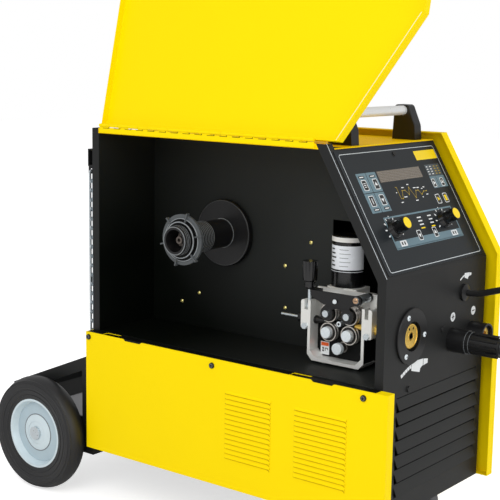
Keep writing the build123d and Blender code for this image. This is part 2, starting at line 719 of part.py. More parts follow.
# ---------------------------------------------------------------- rear fittings
gland_out = 26.0
with BuildPart() as mains_gland:
    with BuildSketch(Plane.YZ.offset(rear_x - 8.0)):
        with Locations((gland_y, gland_z)):
            RegularPolygon(gland_r, 6, major_radius=False)
    extrude(amount=8.0)
    with BuildSketch(Plane.YZ.offset(rear_x - gland_out)):
        with Locations((gland_y, gland_z)):
            Circle(gland_r - 1.0)
    extrude(amount=gland_out - 8.0)
    chamfer(edges().sort_by(Axis.X)[0], 4.0)
    with BuildSketch(Plane.YZ.offset(rear_x)):
        with Locations((gland_y, gland_z)):
            Circle(gland_r - 3.0 - gap)
    extrude(amount=8.0)
    with BuildSketch(Plane.YZ.offset(rear_x - gland_out)):
        with Locations((gland_y, gland_z)):
            Circle(6.0)
    extrude(amount=gland_out + 8.0, mode=Mode.SUBTRACT)
finish(mains_gland, "mains_gland")

with BuildPart() as gas_inlet:
    with BuildSketch(Plane.XZ.offset(-gas_y)):
        with BuildLine():
            Polyline((rear_x + 8.0, gas_z + 2.0), (rear_x + 8.0, gas_z + gas_r - gap),
                     (rear_x, gas_z + gas_r - gap), (rear_x, gas_z + 8.0),
                     (rear_x - 6.0, gas_z + 8.0), (rear_x - 6.0, gas_z + 4.0),
                     (rear_x - 14.0, gas_z + 3.5), (rear_x - 14.0, gas_z + 4.5),
                     (rear_x - 26.0, gas_z + 3.2), (rear_x - 26.0, gas_z + 2.0), close=True)
        make_face()
    revolve(axis=Axis((0, gas_y, gas_z), (1, 0, 0)))
finish(gas_inlet, "gas_inlet")

chain_rail_z = sill_z + 290.0
chain_rail_height = 30.0
chain_rail_out = 15.0
chain_x = rear_x - 8.0
chain_y = near_y + 6.0
chain_tab = 13.0            # drop of the lug that carries the chain
chain_eye_r = 3.2
link_wire = 3.0
link_inner = 18.0           # inside length of a link
link_inner_r = 2.5
link_count = 18
link_arch = link_inner_r - sqrt(link_inner_r ** 2 - (link_wire / 2) ** 2)
chain_eye_z = chain_rail_z - chain_tab / 2
with BuildPart() as chain_bracket:
    with BuildSketch(Plane.XZ.offset(-far_y + 4.0)):
        Polygon((rear_x, chain_rail_z), (rear_x, chain_rail_z + 2.0),
                (rear_x - chain_rail_out + 2.0, chain_rail_z + 2.0),
                (rear_x - chain_rail_out + 2.0, chain_rail_z + chain_rail_height - 2.0),
                (rear_x, chain_rail_z + chain_rail_height - 2.0),
                (rear_x, chain_rail_z + chain_rail_height),
                (rear_x - chain_rail_out, chain_rail_z + chain_rail_height),
                (rear_x - chain_rail_out, chain_rail_z), align=None)
    extrude(amount=body_width - 8.0)
    with BuildSketch(Plane.XZ.offset(-chain_y - link_wire / 2)):
        with Locations((chain_x, chain_rail_z - chain_tab / 2)):
            Rectangle(chain_rail_out - 3.0, chain_tab)
        with Locations((chain_x, chain_eye_z)):
            Circle(chain_eye_r, mode=Mode.SUBTRACT)
    extrude(amount=link_wire)
finish(chain_bracket, "chain_bracket")


def chain_link(plane):
    """One stadium-shaped link, centred on the plane's origin."""
    with BuildSketch(plane.offset(-link_wire / 2)) as link:
        SlotOverall(link_inner + 2 * link_wire, 2 * (link_inner_r + link_wire), rotation=90)
        SlotOverall(link_inner, 2 * link_inner_r, rotation=90, mode=Mode.SUBTRACT)
    extrude(link.sketch, amount=link_wire)


with BuildPart() as chain:
    link_step = link_inner - 2 * link_arch - gap
    eye_floor = chain_eye_z - sqrt(chain_eye_r ** 2 - (link_wire / 2) ** 2)
    top_link_z = eye_floor + gap + link_arch - link_inner / 2
    for number in range(link_count):
        normal = (0, 1, 0) if number % 2 else (1, 0, 0)
        chain_link(Plane(origin=(chain_x, chain_y, top_link_z - number * link_step),
                         x_dir=(normal[1], normal[0], 0), z_dir=normal))
finish(chain, "chain")

# ---------------------------------------------------------------- spool hub
hub_x = bay_x + 173.0
hub_z = sill_z + 179.0
hub_barrel_r = 25.0
hub_thread_r = 24.5         # core of the nose's thread
hub_flange_r = 58.5
hub_flange_y = near_y + 130.0
hub_flange_thick = 9.0
hub_nose_y = near_y + 3.0
hub_bore_r = 19.0
hub_web_y = near_y + 34.0   # front of the web that the brake nut clamps
axle_stub_r = 10.0
ring_y = near_y + 22.0      # locking ring's front face
ring_thick = 5.0
ring_r = 43.0
ring_collar_r = 31.0
ring_collar = 6.0
ring_lugs = 6
hub_seat_y = ring_y + ring_thick + 1.0


def hub_plane(y):
    """Plane across the hub's axis at y, facing the opening."""
    return Plane(origin=(hub_x, y, hub_z), x_dir=(1, 0, 0), z_dir=(0, -1, 0))


with BuildPart() as spool_hub:
    with BuildSketch(hub_plane(hub_flange_y + hub_flange_thick)):
        Circle(hub_flange_r)
    extrude(amount=hub_flange_thick)
    fillet(edges().filter_by(GeomType.CIRCLE).sort_by(Axis.Y)[0], 1.5)
    with BuildSketch(hub_plane(hub_flange_y)):
        Circle(hub_barrel_r)
    extrude(amount=hub_flange_y - hub_seat_y)
    with BuildSketch(hub_plane(hub_seat_y)):
        Circle(hub_thread_r)
    extrude(amount=hub_seat_y - hub_nose_y)
    chamfer(edges().filter_by(GeomType.CIRCLE).sort_by(Axis.Y)[0], 0.8)
    with BuildSketch(hub_plane(hub_web_y)):
        Circle(hub_bore_r)
    extrude(amount=hub_web_y - hub_nose_y, mode=Mode.SUBTRACT)
    with BuildSketch(hub_plane(hub_flange_y + hub_flange_thick)):
        Circle(axle_stub_r + running)
    extrude(amount=hub_flange_y + hub_flange_thick - hub_web_y, mode=Mode.SUBTRACT)
finish(spool_hub, "spool_hub")

with BuildPart() as hub_lock_ring:
    with BuildSketch(hub_plane(ring_y + ring_thick)):
        Circle(ring_r)
    extrude(amount=ring_thick)
    with BuildSketch(hub_plane(ring_y)):
        Circle(ring_collar_r)
    extrude(amount=ring_collar)
    with BuildSketch(hub_plane(ring_y)):
        with PolarLocations((ring_collar_r + ring_r + 3.0) / 2, ring_lugs, start_angle=14):
            Rectangle(ring_r + 5.0 - ring_collar_r, 2.4)
    extrude(amount=3.5, both=True)
    with BuildSketch(hub_plane(ring_y + ring_thick)):
        Circle(hub_thread_r + running)
    extrude(amount=ring_thick + ring_collar + 1.0, mode=Mode.SUBTRACT)
finish(hub_lock_ring, "hub_lock_ring")

with BuildPart() as hub_axle:
    with BuildSketch(hub_plane(wall_y)):
        Circle(26.0)
    extrude(amount=wall_y - hub_flange_y - hub_flange_thick - gap)
    with BuildSketch(hub_plane(wall_y)):
        Circle(axle_stub_r)
    extrude(amount=wall_y - hub_web_y + gap)
    with BuildSketch(hub_plane(hub_web_y - gap)):
        Circle(16.0)
    extrude(amount=2.0)
    with BuildSketch(hub_plane(hub_web_y - gap - 2.0)):
        RegularPolygon(11.0, 6, major_radius=False)
    extrude(amount=9.0)
    with BuildSketch(hub_plane(hub_web_y - gap - 11.0)):
        Circle(6.5)
        RegularPolygon(3.0, 6, major_radius=False, mode=Mode.SUBTRACT)
    extrude(amount=8.0)
finish(hub_axle, "hub_axle")

# ---------------------------------------------------------------- wire drive: layout
drive_x = front_x - 127.5
roll_r = 15.0
gear_teeth = 31
gear_module = 1.0
gear_centres = gear_teeth * gear_module
roll_half = 19.5            # half the spacing of the two roll pairs
lower_z = wire_z - gear_centres / 2
upper_z = wire_z + gear_centres / 2
main_z = lower_z - sqrt(gear_centres ** 2 - roll_half ** 2)

roll_front = wire_y - 6.0
roll_back = wire_y + 6.0
cover_front = roll_back + 1.0
cover_thick = 1.6
gear_front = cover_front + cover_thick + 0.8
gear_back = gear_front + 7.5
web_front = gear_back + 3.0
web_back = web_front + 4.0
frame_front = near_y + 60.0

frame_x0 = drive_x - 53.3
frame_x1 = drive_x + 53.3
frame_z0 = sill_z + 6.0
frame_wall = 5.0
web_top = sill_z + 120.0
ear_out = 13.5
ear_bottom = sill_z + 56.0
ear_top = sill_z + 103.0
ear_back = frame_front + 16.0
rod_x = frame_x0 - 3.5
rod_y = frame_front + 9.0
rod_pivot_z = sill_z + 92.0
rod_r = 3.0
rod_slot = 2 * rod_r + 2 * gap
rod_eye_r = 4.5
rod_pin_r = 1.5
rod_pin_seat = 2.0
tube_out_r = 2.25
outlet_r = 6.0
arm_pivot_x = drive_x + 39.5
arm_pivot_z = sill_z + 115.0
arm_pin_r = 4.0
centre_pin_r = 3.2
centre_pin_z = arm_pivot_z - 7.0
shaft_r = 4.0
upper_shaft_r = 3.0

# ---------------------------------------------------------------- drive frame
with BuildPart() as drive_frame:
    corner = 9.0
    with BuildSketch(Plane.XZ.offset(-web_back)):
        Polygon((frame_x0 + corner, frame_z0), (frame_x1 - corner, frame_z0),
                (frame_x1, frame_z0 + corner), (frame_x1, web_top),
                (frame_x0 - 6.0, web_top), (frame_x0 - 6.0, ear_bottom),
                (frame_x0, ear_bottom), (frame_x0, frame_z0 + corner), align=None)
    extrude(amount=web_back - web_front)
    with BuildSketch(Plane.XZ.offset(-web_front)):
        Polygon((frame_x0 + corner, frame_z0), (frame_x1 - corner, frame_z0),
                (frame_x1, frame_z0 + corner), (frame_x1, ear_top - 4.0),
                (frame_x0, ear_top - 4.0), (frame_x0, frame_z0 + corner), align=None)
    extrude(amount=web_front - frame_front)
    inner_corner = corner + frame_wall * 0.4
    with BuildSketch(Plane.XZ.offset(-web_front)):
        Polygon((frame_x0 + inner_corner + frame_wall, frame_z0 + frame_wall),
                (frame_x1 - inner_corner - frame_wall, frame_z0 + frame_wall),
                (frame_x1 - frame_wall, frame_z0 + inner_corner + frame_wall),
                (frame_x1 - frame_wall, web_top),
                (frame_x0 + frame_wall, web_top),
                (frame_x0 + frame_wall, frame_z0 + inner_corner + frame_wall), align=None)
    extrude(amount=web_front - frame_front, mode=Mode.SUBTRACT)
    for side, edge_x in ((-1, frame_x0), (1, frame_x1)):
        with BuildSketch(Plane.XZ.offset(-ear_back)):
            with Locations((edge_x + side * ear_out / 2, (ear_bottom + ear_top) / 2)):
                RectangleRounded(ear_out, ear_top - ear_bottom, 4.0)
            with Locations((edge_x - side * 2.5, (ear_bottom + ear_top) / 2)):
                Rectangle(5.0, ear_top - ear_bottom)
        extrude(amount=ear_back - frame_front)
        slot_x = rod_x if side < 0 else edge_x + 3.5
        slot_bottom = rod_pivot_z - rod_eye_r - gap
        with BuildSketch(Plane.XZ.offset(-ear_back - 1.0)):
            with Locations((slot_x, (slot_bottom + ear_top + 1.0) / 2)):
                Rectangle(rod_slot, ear_top + 1.0 - slot_bottom)
        extrude(amount=ear_back + 2.0 - frame_front, mode=Mode.SUBTRACT)
        with BuildSketch(Plane.YZ.offset(slot_x - rod_slot / 2 - rod_pin_seat)):
            with Locations((rod_y, rod_pivot_z)):
                Circle(rod_pin_r)
        extrude(amount=rod_slot + 2 * rod_pin_seat, mode=Mode.SUBTRACT)
        with BuildSketch(Plane.YZ.offset(edge_x - side * (frame_wall + 1.0) if side > 0
                                         else edge_x - ear_out - 1.0)):
            with Locations((wire_y, wire_z)):
                Circle((outlet_r if side > 0 else tube_out_r) + running)
        extrude(amount=ear_out + frame_wall + 2.0, mode=Mode.SUBTRACT)
    with BuildSketch(Plane.XZ.offset(-web_back - 1.0)):
        for shaft_x, shaft_z in ((drive_x - roll_half, lower_z), (drive_x + roll_half, lower_z)):
            with Locations((shaft_x, shaft_z)):
                Circle(shaft_r)
        with Locations((drive_x, main_z)):
            Circle(shaft_r + running)
        with Locations((arm_pivot_x, arm_pivot_z)):
            Circle(arm_pin_r)
    extrude(amount=web_back - web_front + 2.0, mode=Mode.SUBTRACT)
finish(drive_frame, "drive_frame")

# ---------------------------------------------------------------- gearbox and motor
motor_x = front_x - 148.0
motor_y = near_y + 124.0
motor_r = 27.2
motor_z0 = web_top + 2.0
motor_z1 = sill_z + 205.0
gearbox_back = wall_y - 1.0

with BuildPart() as gearbox:
    with BuildSketch(Plane.XY.offset(frame_z0 + 12.0)):
        with Locations((motor_x + 13.0, (web_back + gearbox_back) / 2)):
            RectangleRounded(68.0, gearbox_back - web_back, 6.0)
    extrude(amount=web_top - frame_z0 - 20.0)
    with BuildSketch(Plane.XY.offset(web_top - 8.0)):
        with Locations((motor_x + 4.0, (web_back + gearbox_back) / 2)):
            RectangleRounded(58.0, gearbox_back - web_back, 4.0)
    extrude(amount=motor_z0 - web_top + 8.0)
    with BuildSketch(Plane.XZ.offset(-web_back - 12.0)):
        with Locations((drive_x, main_z)):
            Circle(shaft_r + running)
    extrude(amount=12.0, mode=Mode.SUBTRACT)
finish(gearbox, "gearbox")

with BuildPart() as motor:
    with BuildSketch(Plane.XY.offset(motor_z0)):
        with Locations((motor_x, motor_y)):
            Circle(motor_r)
    extrude(amount=motor_z1 - motor_z0 - 9.0)
    with BuildSketch(Plane.XY.offset(motor_z1 - 9.0)):
        with Locations((motor_x, motor_y)):
            Circle(motor_r - 0.8)
    extrude(amount=1.2)
    with BuildSketch(Plane.XY.offset(motor_z1 - 7.8)):
        with Locations((motor_x, motor_y)):
            Circle(motor_r)
    extrude(amount=7.8)
    fillet(edges().filter_by(GeomType.CIRCLE).sort_by(Axis.Z)[-1], 1.6)
finish(motor, "motor")

# ---------------------------------------------------------------- gear cover
with BuildPart() as gear_cover:
    plate_x0 = frame_x0 + frame_wall + gap
    plate_x1 = frame_x1 - frame_wall - gap
    plate_z0 = frame_z0 + frame_wall + gap
    with BuildSketch(Plane.XZ.offset(-cover_front - cover_thick)):
        Polygon((plate_x0 + inner_corner + gap, plate_z0), (plate_x1 - inner_corner - gap, plate_z0),
                (plate_x1, plate_z0 + inner_corner + gap), (plate_x1, upper_z - 12.0),
                (plate_x0, upper_z - 12.0), (plate_x0, plate_z0 + inner_corner + gap), align=None)
        for hole_x, hole_z in ((drive_x - roll_half, lower_z), (drive_x + roll_half, lower_z),
                               (drive_x, main_z)):
            with Locations((hole_x, hole_z)):
                Circle(9.0, mode=Mode.SUBTRACT)
    extrude(amount=cover_thick)
finish(gear_cover, "gear_cover")

# ---------------------------------------------------------------- gears and rolls
tooth_tip = gear_module * (gear_teeth / 2 + 0.85)
tooth_root = gear_module * (gear_teeth / 2 - 1.1)
tip_share = 0.22            # share of the pitch that a tooth takes at its tip
root_share = 0.56


def gear_points(x, z, phase):
    """Outline of a spur gear, with one tooth on the phase angle."""
    pitch = 360 / gear_teeth
    points = []
    for tooth in range(gear_teeth):
        at = phase + tooth * pitch
        for radius, offset in ((tooth_root, -root_share / 2), (tooth_tip, -tip_share / 2),
                               (tooth_tip, tip_share / 2), (tooth_root, root_share / 2)):
            angle = radians(at + offset * pitch)
            points.append((x + radius * cos(angle), z + radius * sin(angle)))
    return points


half_pitch = 180 / gear_teeth
main_angle = degrees(atan2(lower_z - main_z, -roll_half))
main_phase = main_angle
lower_phase = {-1: main_angle + 180 + half_pitch,
               1: 180 - main_angle + 180 + half_pitch}
main_phase_right = (180 - main_angle - main_phase) % (2 * half_pitch)
lower_phase[1] = 360 - main_angle + half_pitch + main_phase_right
upper_phase = {side: -(lower_phase[side] - 90) + half_pitch - 90 for side in (-1, 1)}


def roll(x, z, phase, bore, front_boss):
    """Feed roll with its groove, hub and drive gear, on an axis along Y."""
    with BuildSketch(Plane.YZ.offset(x)) as profile:
        with BuildLine():
            groove = 1.2
            Polyline((roll_front, z + bore), (roll_front, z + front_boss),
                     (roll_front + 1.6, z + front_boss), (roll_front + 1.6, z + roll_r - 2.6),
                     (roll_front, z + roll_r - 2.6), (roll_front, z + roll_r),
                     (wire_y - groove, z + roll_r), (wire_y, z + roll_r - groove),
                     (wire_y + groove, z + roll_r), (roll_back, z + roll_r),
                     (roll_back, z + 8.0), (gear_front, z + 8.0), (gear_front, z + bore),
                     close=True)
        make_face()
    revolve(profile.sketch, axis=Axis((x, 0, z), (0, 1, 0)))
    with BuildSketch(Plane.XZ.offset(-gear_back)) as gear:
        Polygon(*gear_points(x, z, phase), align=None)
        with Locations((x, z)):
            Circle(bore, mode=Mode.SUBTRACT)
    extrude(gear.sketch, amount=gear_back - gear_front)


knob_cap_r = 9.0
for roll_name, side in (("lower_roll_left", -1), ("lower_roll_right", 1)):
    with BuildPart() as lower_roll:
        roll_x = drive_x + side * roll_half
        roll(roll_x, lower_z, lower_phase[side], shaft_r + running, 9.5)
        with BuildSketch(Plane.XZ.offset(-roll_front)):
            with Locations((roll_x, lower_z)):
                Circle(knob_cap_r)
        extrude(amount=8.5)
        chamfer(edges().sort_by(Axis.Y)[0], 0.8)
    finish(lower_roll, roll_name)

for roll_name, side in (("upper_roll_left", -1), ("upper_roll_right", 1)):
    with BuildPart() as upper_roll:
        roll(drive_x + side * roll_half, upper_z, upper_phase[side], upper_shaft_r + running, 6.0)
    finish(upper_roll, roll_name)

with BuildPart() as drive_gear:
    with BuildSketch(Plane.XZ.offset(-gear_back)):
        Polygon(*gear_points(drive_x, main_z, main_phase), align=None)
    extrude(amount=gear_back - gear_front)
    with BuildSketch(Plane.XZ.offset(-gear_front)):
        with Locations((drive_x, main_z)):
            Circle(7.0)
    extrude(amount=gear_front - roll_front - 4.0)
    with BuildSketch(Plane.XZ.offset(-roll_front - 4.0)):
        with Locations((drive_x, main_z)):
            Circle(knob_cap_r)
    extrude(amount=9.0)
    chamfer(edges().sort_by(Axis.Y)[0], 0.8)
    with BuildSketch(Plane.XZ.offset(-web_back - 11.0)):
        with Locations((drive_x, main_z)):
            Circle(shaft_r)
    extrude(amount=web_back + 11.0 - gear_back)
finish(drive_gear, "drive_gear")

# ---------------------------------------------------------------- pressure arm
rocker_thick = 6.0
rocker_back = roll_front - 0.7
rocker_front = rocker_back - rocker_thick
arm_thick = 4.0
arm_back = rocker_front - gap
arm_front = arm_back - arm_thick
arm_x0 = drive_x - 46.0
arm_low_z = arm_pivot_z - 16.0
seat_r = 4.8                # notch of the arm's end round the tension rod
seat_z = sill_z + 119.0
cone_rise = 4.0
arm_end_top = seat_z + 2.0
arm_end_low = seat_z - 8.0
arm_hub_r = 7.0
hook_front = rod_y + 2.0    # the arm's end reaches round behind the rod
hook_back = rod_y + 11.0

with BuildPart() as pressure_arm:
    with BuildSketch(Plane.XZ.offset(-arm_back)):
        with BuildLine():
            a1 = Line((arm_x0, arm_end_low), (arm_x0, arm_end_top))
            a2 = Line(a1 @ 1, (arm_pivot_x, arm_end_top))
            a3 = ThreePointArc(a2 @ 1, (arm_pivot_x + 8.0, arm_pivot_z), (arm_pivot_x, arm_pivot_z - 8.0))
            a4 = Line(a3 @ 1, (drive_x + 24.0, arm_low_z + 2.0))
            a5 = ThreePointArc(a4 @ 1, (drive_x, arm_low_z), (drive_x - 24.0, arm_low_z + 2.0))
            Line(a5 @ 1, a1 @ 0)
        make_face()
    extrude(amount=arm_thick)
    with BuildSketch(Plane.XY.offset(arm_end_low)):
        with Locations((rod_x + 7.0, (hook_front + hook_back) / 2)):
            Rectangle(22.0, hook_back - hook_front)
        with Locations((rod_x + 14.0, (arm_front + hook_back) / 2)):
            Rectangle(8.0, hook_back - arm_front)
    extrude(amount=arm_end_top - arm_end_low)
    with BuildSketch(Plane.XZ.offset(-rod_y)):
        with BuildLine():
            Polyline((rod_x, arm_end_low - 1.0), (rod_x + seat_r, arm_end_low - 1.0),
                     (rod_x + seat_r, seat_z), (rod_x + seat_r + cone_rise, seat_z + cone_rise),
                     (rod_x, seat_z + cone_rise), close=True)
        make_face()
    revolve(axis=Axis((rod_x, rod_y, 0), (0, 0, 1)), mode=Mode.SUBTRACT)
    with BuildSketch(Plane.XZ.offset(-web_front + gap)):
        with Locations((arm_pivot_x, arm_pivot_z)):
            Circle(arm_hub_r)
    extrude(amount=web_front - gap - arm_front)
    with BuildSketch(Plane.XZ.offset(-web_front)):
        with Locations((drive_x, centre_pin_z)):
            Circle(centre_pin_r)
        with Locations((arm_pivot_x, arm_pivot_z)):
            Circle(arm_pin_r + running)
    extrude(amount=web_front - arm_front + 1.0, mode=Mode.SUBTRACT)
    with BuildSketch(Plane.XZ.offset(-rocker_back)):
        with Locations((drive_x, centre_pin_z)):
            Circle(centre_pin_r)
    extrude(amount=rocker_back - arm_front + 1.5)
finish(pressure_arm, "pressure_arm")

lobe_r = 11.5
with BuildPart() as roll_rocker:
    with BuildSketch(Plane.XZ.offset(-rocker_back)):
        for side in (-1, 1):
            with Locations((drive_x + side * roll_half, upper_z)):
                Circle(lobe_r)
        with Locations((drive_x, centre_pin_z)):
            Circle(8.5)
        with BuildLine():
            r1 = Line((drive_x - 8.0, centre_pin_z + 2.0), (drive_x + 8.0, centre_pin_z + 2.0))
            r2 = Line(r1 @ 1, (drive_x + roll_half + 9.0, upper_z + 7.0))
            r3 = Line(r2 @ 1, (drive_x + roll_half - 2.0, upper_z - 4.0))
            r4 = ThreePointArc(r3 @ 1, (drive_x, upper_z + 10.0),
                               (drive_x - roll_half + 2.0, upper_z - 4.0))
            r5 = Line(r4 @ 1, (drive_x - roll_half - 9.0, upper_z + 7.0))
            Line(r5 @ 1, r1 @ 0)
        make_face()
        for side in (-1, 1):
            with Locations((drive_x + side * roll_half, upper_z)):
                Circle(upper_shaft_r, mode=Mode.SUBTRACT)
        with Locations((drive_x, centre_pin_z)):
            Circle(centre_pin_r + running, mode=Mode.SUBTRACT)
    extrude(amount=rocker_thick)
finish(roll_rocker, "roll_rocker")

with BuildPart() as arm_pins:
    for side in (-1, 1):
        with BuildSketch(Plane.XZ.offset(-gear_back)):
            with Locations((drive_x + side * roll_half, upper_z)):
                Circle(upper_shaft_r)
        extrude(amount=gear_back - rocker_front)
        with BuildSketch(Plane.XZ.offset(-rocker_front)):
            with Locations((drive_x + side * roll_half, upper_z)):
                Circle(5.5)
        extrude(amount=3.6)
finish(arm_pins, "arm_pins")

# ---------------------------------------------------------------- drive hardware
bolt_r = 4.6
with BuildPart() as drive_hardware:
    for side in (-1, 1):
        with BuildSketch(Plane.XZ.offset(-web_back)):
            with Locations((drive_x + side * roll_half, lower_z)):
                Circle(shaft_r)
        extrude(amount=web_back - roll_front - gap)
        bolt_x = frame_x0 - 5.0 if side < 0 else frame_x1 + 5.0
        with BuildSketch(Plane.XZ.offset(-frame_front)):
            with Locations((bolt_x, ear_bottom + 4.5)):
                RegularPolygon(bolt_r, 6, major_radius=False)
        extrude(amount=3.6)
        with BuildSketch(Plane.XY.offset(bay_floor_z)):
            with Locations((drive_x + side * 30.0, near_y + 76.0)):
                Circle(4.0)
        extrude(amount=frame_z0 - bay_floor_z)
    with BuildSketch(Plane.XZ.offset(-web_back)):
        with Locations((arm_pivot_x, arm_pivot_z)):
            Circle(arm_pin_r)
    extrude(amount=web_back - arm_front + gap)
    with BuildSketch(Plane.XZ.offset(-arm_front + gap)):
        with Locations((arm_pivot_x, arm_pivot_z)):
            Circle(5.2)
    extrude(amount=2.0)
    with BuildSketch(Plane.YZ.offset(rod_x - rod_slot / 2 - rod_pin_seat)):
        with Locations((rod_y, rod_pivot_z)):
            Circle(rod_pin_r)
    extrude(amount=rod_slot + 2 * rod_pin_seat)
finish(drive_hardware, "drive_hardware")

# ---------------------------------------------------------------- tension rod and knob
rod_length = sill_z + 163.0 - rod_pivot_z
tension_knob_r = 12.5
neck_r = seat_r + cone_rise - gap
with BuildPart() as tension_rod:
    with BuildSketch(Plane.YZ.offset(rod_x - rod_r)):
        with Locations((rod_y, rod_pivot_z)):
            Circle(rod_eye_r)
            Circle(rod_pin_r + running, mode=Mode.SUBTRACT)
    extrude(amount=2 * rod_r)
    with BuildSketch(Plane.XY.offset(rod_pivot_z + 3.6)):
        with Locations((rod_x, rod_y)):
            Circle(rod_r)
    extrude(amount=rod_length - 3.6)
finish(tension_rod, "tension_rod")

with BuildPart() as tension_knob:
    with BuildSketch(Plane.XZ.offset(-rod_y)):
        with BuildLine():
            Polyline((rod_x, seat_z + gap), (rod_x + seat_r - 0.3, seat_z + gap),
                     (rod_x + neck_r, seat_z + gap + cone_rise - 0.3),
                     (rod_x + neck_r, seat_z + 13.0), (rod_x + tension_knob_r - 1.0, seat_z + 15.0),
                     (rod_x + tension_knob_r, seat_z + 46.0), (rod_x, seat_z + 46.0), close=True)
        make_face()
    revolve(axis=Axis((rod_x, rod_y, 0), (0, 0, 1)))
    with BuildSketch(Plane.XY.offset(seat_z + 18.0)):
        with Locations((rod_x, rod_y)):
            with PolarLocations(tension_knob_r + 0.6, 12):
                Circle(1.6)
    extrude(amount=29.0, mode=Mode.SUBTRACT)
    with BuildSketch(Plane.XY.offset(seat_z)):
        with Locations((rod_x, rod_y)):
            Circle(rod_r + running)
    extrude(amount=rod_pivot_z + rod_length - seat_z + gap, mode=Mode.SUBTRACT)
finish(tension_knob, "tension_knob")

# ---------------------------------------------------------------- wire guides
nut_length = 11.5
nut_r = 8.0
tube_x0 = front_x - 243.0
cone_x0 = frame_x0 + frame_wall
cone_length = 19.0
wire_r = 1.0
guide_r = 4.2
with BuildPart() as wire_guides:
    with BuildSketch(Plane.YZ.offset(tube_x0)):
        with Locations((wire_y, wire_z)):
            Circle(tube_out_r)
            Circle(wire_r, mode=Mode.SUBTRACT)
    extrude(amount=cone_x0 + cone_length - 6.0 - tube_x0)
    with BuildSketch(Plane.YZ.offset(frame_x0 - ear_out - nut_length)):
        with Locations((wire_y, wire_z)):
            Circle(nut_r)
            with PolarLocations(nut_r + 0.4, 12):
                Circle(1.0, mode=Mode.SUBTRACT)
            Circle(tube_out_r + running, mode=Mode.SUBTRACT)
    extrude(amount=nut_length)
    with BuildSketch(Plane.XZ.offset(-wire_y)):
        with BuildLine():
            Polyline((cone_x0, wire_z + tube_out_r + running), (cone_x0, wire_z + 6.5),
                     (cone_x0 + 3.0, wire_z + 6.5), (cone_x0 + 3.0, wire_z + 5.0),
                     (cone_x0 + cone_length, wire_z + 2.9),
                     (cone_x0 + cone_length, wire_z + tube_out_r + running), close=True)
        make_face()
    revolve(axis=Axis((0, wire_y, wire_z), (1, 0, 0)))
    with BuildSketch(Plane.XZ.offset(-cover_front)):
        with Locations((drive_x, wire_z)):
            Circle(guide_r)
    extrude(amount=cover_front - roll_front - 0.5)
    with BuildSketch(Plane.YZ.offset(drive_x - 2 * guide_r)):
        with Locations((wire_y, wire_z)):
            Circle(wire_r + 0.2)
    extrude(amount=4 * guide_r, mode=Mode.SUBTRACT)
finish(wire_guides, "wire_guides")

connector_r = 19.0
connector_bore_r = 5.0
connector_bore = 24.0
outlet_tip = drive_x + roll_half + 8.0
with BuildPart() as torch_connector:
    with BuildSketch(Plane.XZ.offset(-wire_y)):
        with BuildLine():
            Polyline((outlet_tip, wire_z), (outlet_tip, wire_z + 2.6),
                     (frame_x1 - frame_wall - 4.0, wire_z + outlet_r),
                     (frame_x1 + ear_out + gap, wire_z + outlet_r),
                     (frame_x1 + ear_out + gap, wire_z + 9.0),
                     (front_x - 22.0, wire_z + 9.0), (front_x - 22.0, wire_z + connector_r),
                     (front_x + 0.5, wire_z + connector_r), (front_x + 0.5, wire_z), close=True)
        make_face()
    revolve(axis=Axis((0, wire_y, wire_z), (1, 0, 0)))
    with BuildSketch(Plane.YZ.offset(front_x + 0.5 - connector_bore)):
        with Locations((wire_y, wire_z)):
            Circle(connector_bore_r)
    extrude(amount=connector_bore, mode=Mode.SUBTRACT)
    with BuildSketch(Plane.YZ.offset(outlet_tip - 1.0)):
        with Locations((wire_y, wire_z)):
            Circle(1.2)
    extrude(amount=front_x - connector_bore - outlet_tip + 2.0, mode=Mode.SUBTRACT)
finish(torch_connector, "torch_connector")

# ---------------------------------------------------------------- trolley frame
gusset_thick = 3.0
gusset_y = far_y + 2.0      # outer face of a gusset
tray_z = sill_z - 232.0
gusset_end = rear_x - 211.0
axle_x = rear_x - wheel_behind
axle_r = 8.0
top_edge_drop = 88.0
window_drop = 23.0

deck_z = sill_z - 182.0     # bottle tray, above the axle
deck_slope = 23.0           # the deck's rear part slopes up by about as much
deck_lip = 24.0

with BuildPart() as trolley_frame:
    for side in (-1, 1):
        outline_plane = Plane.XZ.offset(-gusset_y if side > 0 else gusset_y - gusset_thick)
        with BuildSketch(outline_plane):
            Polygon((rear_x, sill_z - 45.0), (gusset_end, sill_z - 45.0 - top_edge_drop),
                    (gusset_end, sill_z - 160.0), (axle_x - 30.0, tray_z), (rear_x, tray_z),
                    align=None)
            Polygon((rear_x - 27.0, sill_z - 56.5 - window_drop),
                    (rear_x - 165.0, sill_z - 114.0 - window_drop),
                    (rear_x - 150.0, sill_z - 165.0), (rear_x - 27.0, sill_z - 165.0),
                    align=None, mode=Mode.SUBTRACT)
            with Locations((axle_x, axle_z)):
                Circle(axle_r, mode=Mode.SUBTRACT)
        extrude(amount=gusset_thick)
        with BuildSketch(Plane.XY.offset(tray_z)):
            with Locations((rear_x - gusset_thick / 2, side * (gusset_y - 14.0))):
                Rectangle(gusset_thick, 22.0)
        extrude(amount=sill_z - 47.0 - tray_z)
    with BuildSketch(Plane.XZ.offset(-gusset_y)):
        with BuildLine():
            Polyline((rear_x, deck_z), (gusset_end + deck_slope + gusset_thick, deck_z),
                     (gusset_end + gusset_thick, deck_z + deck_slope),
                     (gusset_end + gusset_thick, deck_z + deck_slope + deck_lip))
            offset(amount=gusset_thick, side=Side.LEFT)
        make_face()
    extrude(amount=2 * gusset_y)
finish(trolley_frame, "trolley_frame")

# ---------------------------------------------------------------- wheels
tyre_inner = gusset_y + 8.0
tyre_mid = tyre_inner + tyre_width / 2
axle_half = tyre_inner + tyre_width - 6.0

